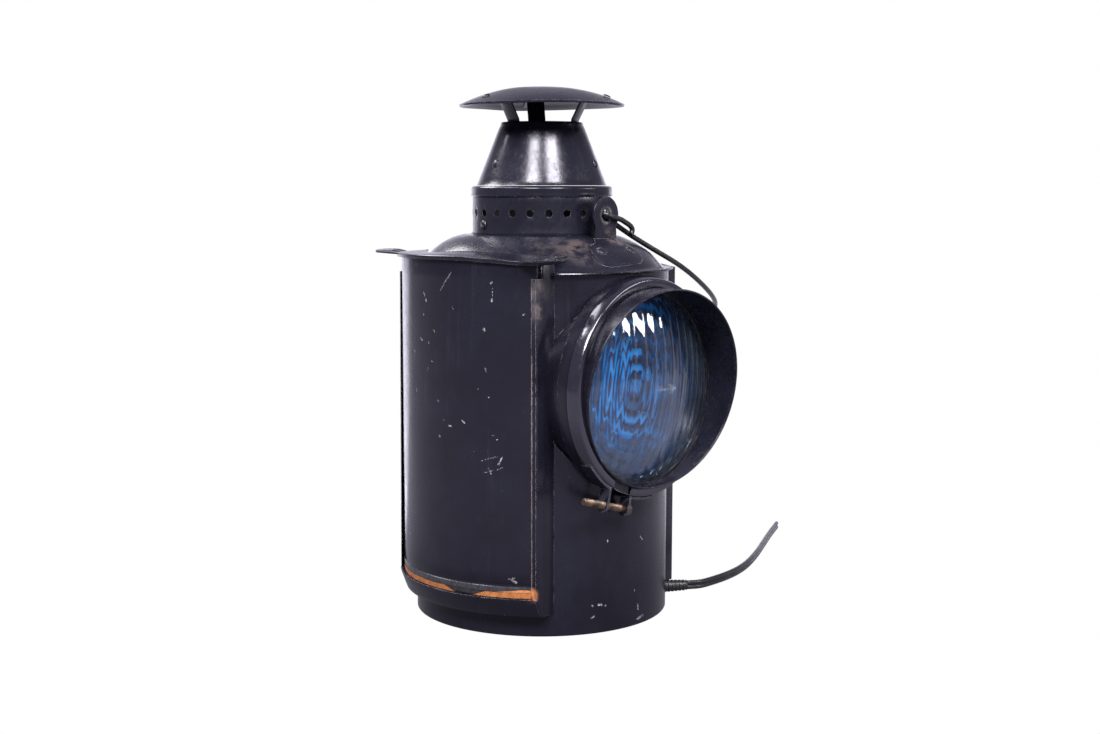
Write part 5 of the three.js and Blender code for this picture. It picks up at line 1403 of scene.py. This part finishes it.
class AddStudio(LampPiece, bpy.types.Operator):
    """Set the pale floor, the soft boxes and the white surround"""
    bl_idname = "semaphore_lamp.studio"
    bl_label = "Studio"

    def execute(self, context):
        to_object_mode()
        bpy.ops.mesh.primitive_plane_add(size=9, location=(0, 0, 0))
        floor = context.object
        floor.name = "studio_floor"
        tree = material("studio_floor")
        away = tree.vector("NORMALIZE", tree.place)
        sector = tree.span(tree.vector("DOT_PRODUCT", away, BEHIND), *LIMB)
        tone = tree.blend(sector, (0.68, 0.67, 0.79), (0.98, 0.96, 1.12))
        side = tree.add("ShaderNodeSeparateXYZ", {0: away}).outputs["Y"]
        more = tree.times(sector, tree.span(side, 0.80, 0.97, 0.0, 1.8))
        # Painted shadow: the floor's glow is halved near the lamp's foot, standing in for the shadow the lamp
        # casts there.
        reach = tree.span(tree.vector("LENGTH", tree.place), 0.09, 0.45, 0.5, 1.0)
        light = tree.times(reach, tree.plus(more, 1.0))
        paper = tree.add("ShaderNodeEmission", {"Color": tone, "Strength": light})
        white = tree.add("ShaderNodeEmission", {"Color": (1, 1, 1, 1), "Strength": 1.0})
        seen = tree.add("ShaderNodeLightPath").outputs["Is Camera Ray"]
        both = tree.add("ShaderNodeMixShader", {0: seen, 1: paper.outputs[0], 2: white.outputs[0]})
        floor.data.materials.append(tree.surface(both))

        context.scene.world = context.scene.world or bpy.data.worlds.new("studio")
        sky = Nodes(context.scene.world, "ShaderNodeOutputWorld", "Generated")
        path = sky.add("ShaderNodeLightPath").outputs
        seen = sky.most(sky.most(path["Is Camera Ray"], path["Is Glossy Ray"]), path["Is Transmission Ray"])
        limb = sky.span(sky.vector("DOT_PRODUCT", sky.place, BEHIND), *LIMB)
        horizon = sky.span(sky.axis("Z"), 0.08, 0.30, 1.9, 0.52, "LINEAR")
        card = sky.blend(limb, (0.30, 0.29, 0.36), sky.vector("SCALE", (1.0, 0.98, 1.15), horizon))
        tint, strength = sky.blend(path["Is Camera Ray"], card, (1, 1, 1)), sky.span(seen, 0.0, 1.0, 0.4, 1.0)
        sky.surface(sky.add("ShaderNodeBackground", {"Color": tint, "Strength": strength}))

        for name, azimuth, elevation, distance, width, height, power in BOXES:
            a, e = math.radians(azimuth), math.radians(elevation)
            away = Vector((math.cos(a) * math.cos(e), math.sin(a) * math.cos(e), math.sin(e)))
            bpy.ops.object.light_add(type="AREA", location=away * distance + lifted(0.2))
            lamp = context.object
            lamp.name = name
            lamp.rotation_euler = away.to_track_quat("Z", "Y").to_euler()
            lamp.data.shape, lamp.data.size, lamp.data.size_y = "RECTANGLE", width, height
            lamp.data.energy = power
            lamp.visible_camera = False
        return {"FINISHED"}


OPERATORS = (
    AddCamera, AddCord, AddBody, AddDoorBay, AddDoor, AddRoof, AddVentBand, AddChimney, AddBail,
    AddLensHousing, AddGlass, AddMastSocket, AddLight, AddStudio,
)


class LampPanel(bpy.types.Panel):
    """The lamp's sizes, finishes and pieces"""
    bl_idname = "VIEW3D_PT_semaphore_lamp"
    bl_label = "Semaphore Lamp"
    bl_space_type = "VIEW_3D"
    bl_region_type = "UI"
    bl_category = "Semaphore Lamp"

    def draw(self, context):
        for group in (context.scene.lamp_sizes, context.scene.lamp_finishes):
            column = self.layout.column(align=True)
            for name in group.__annotations__:
                column.prop(group, name)
        column = self.layout.column(align=True)
        for operator in OPERATORS:
            column.operator(operator.bl_idname)


CLASSES = (LampSizes, LampFinishes, *OPERATORS, LampPanel)


def register():
    for cls in CLASSES:
        bpy.utils.register_class(cls)
    bpy.types.Scene.lamp_sizes = bpy.props.PointerProperty(type=LampSizes)
    bpy.types.Scene.lamp_finishes = bpy.props.PointerProperty(type=LampFinishes)


def unregister():
    del bpy.types.Scene.lamp_finishes
    del bpy.types.Scene.lamp_sizes
    for cls in reversed(CLASSES):
        bpy.utils.unregister_class(cls)


def main():
    register()
    bpy.context.scene.view_settings.view_transform = "Standard"
    for operator in OPERATORS:
        group, name = operator.bl_idname.split(".")
        getattr(getattr(bpy.ops, group), name)()


if __name__ == "__main__":
    main()
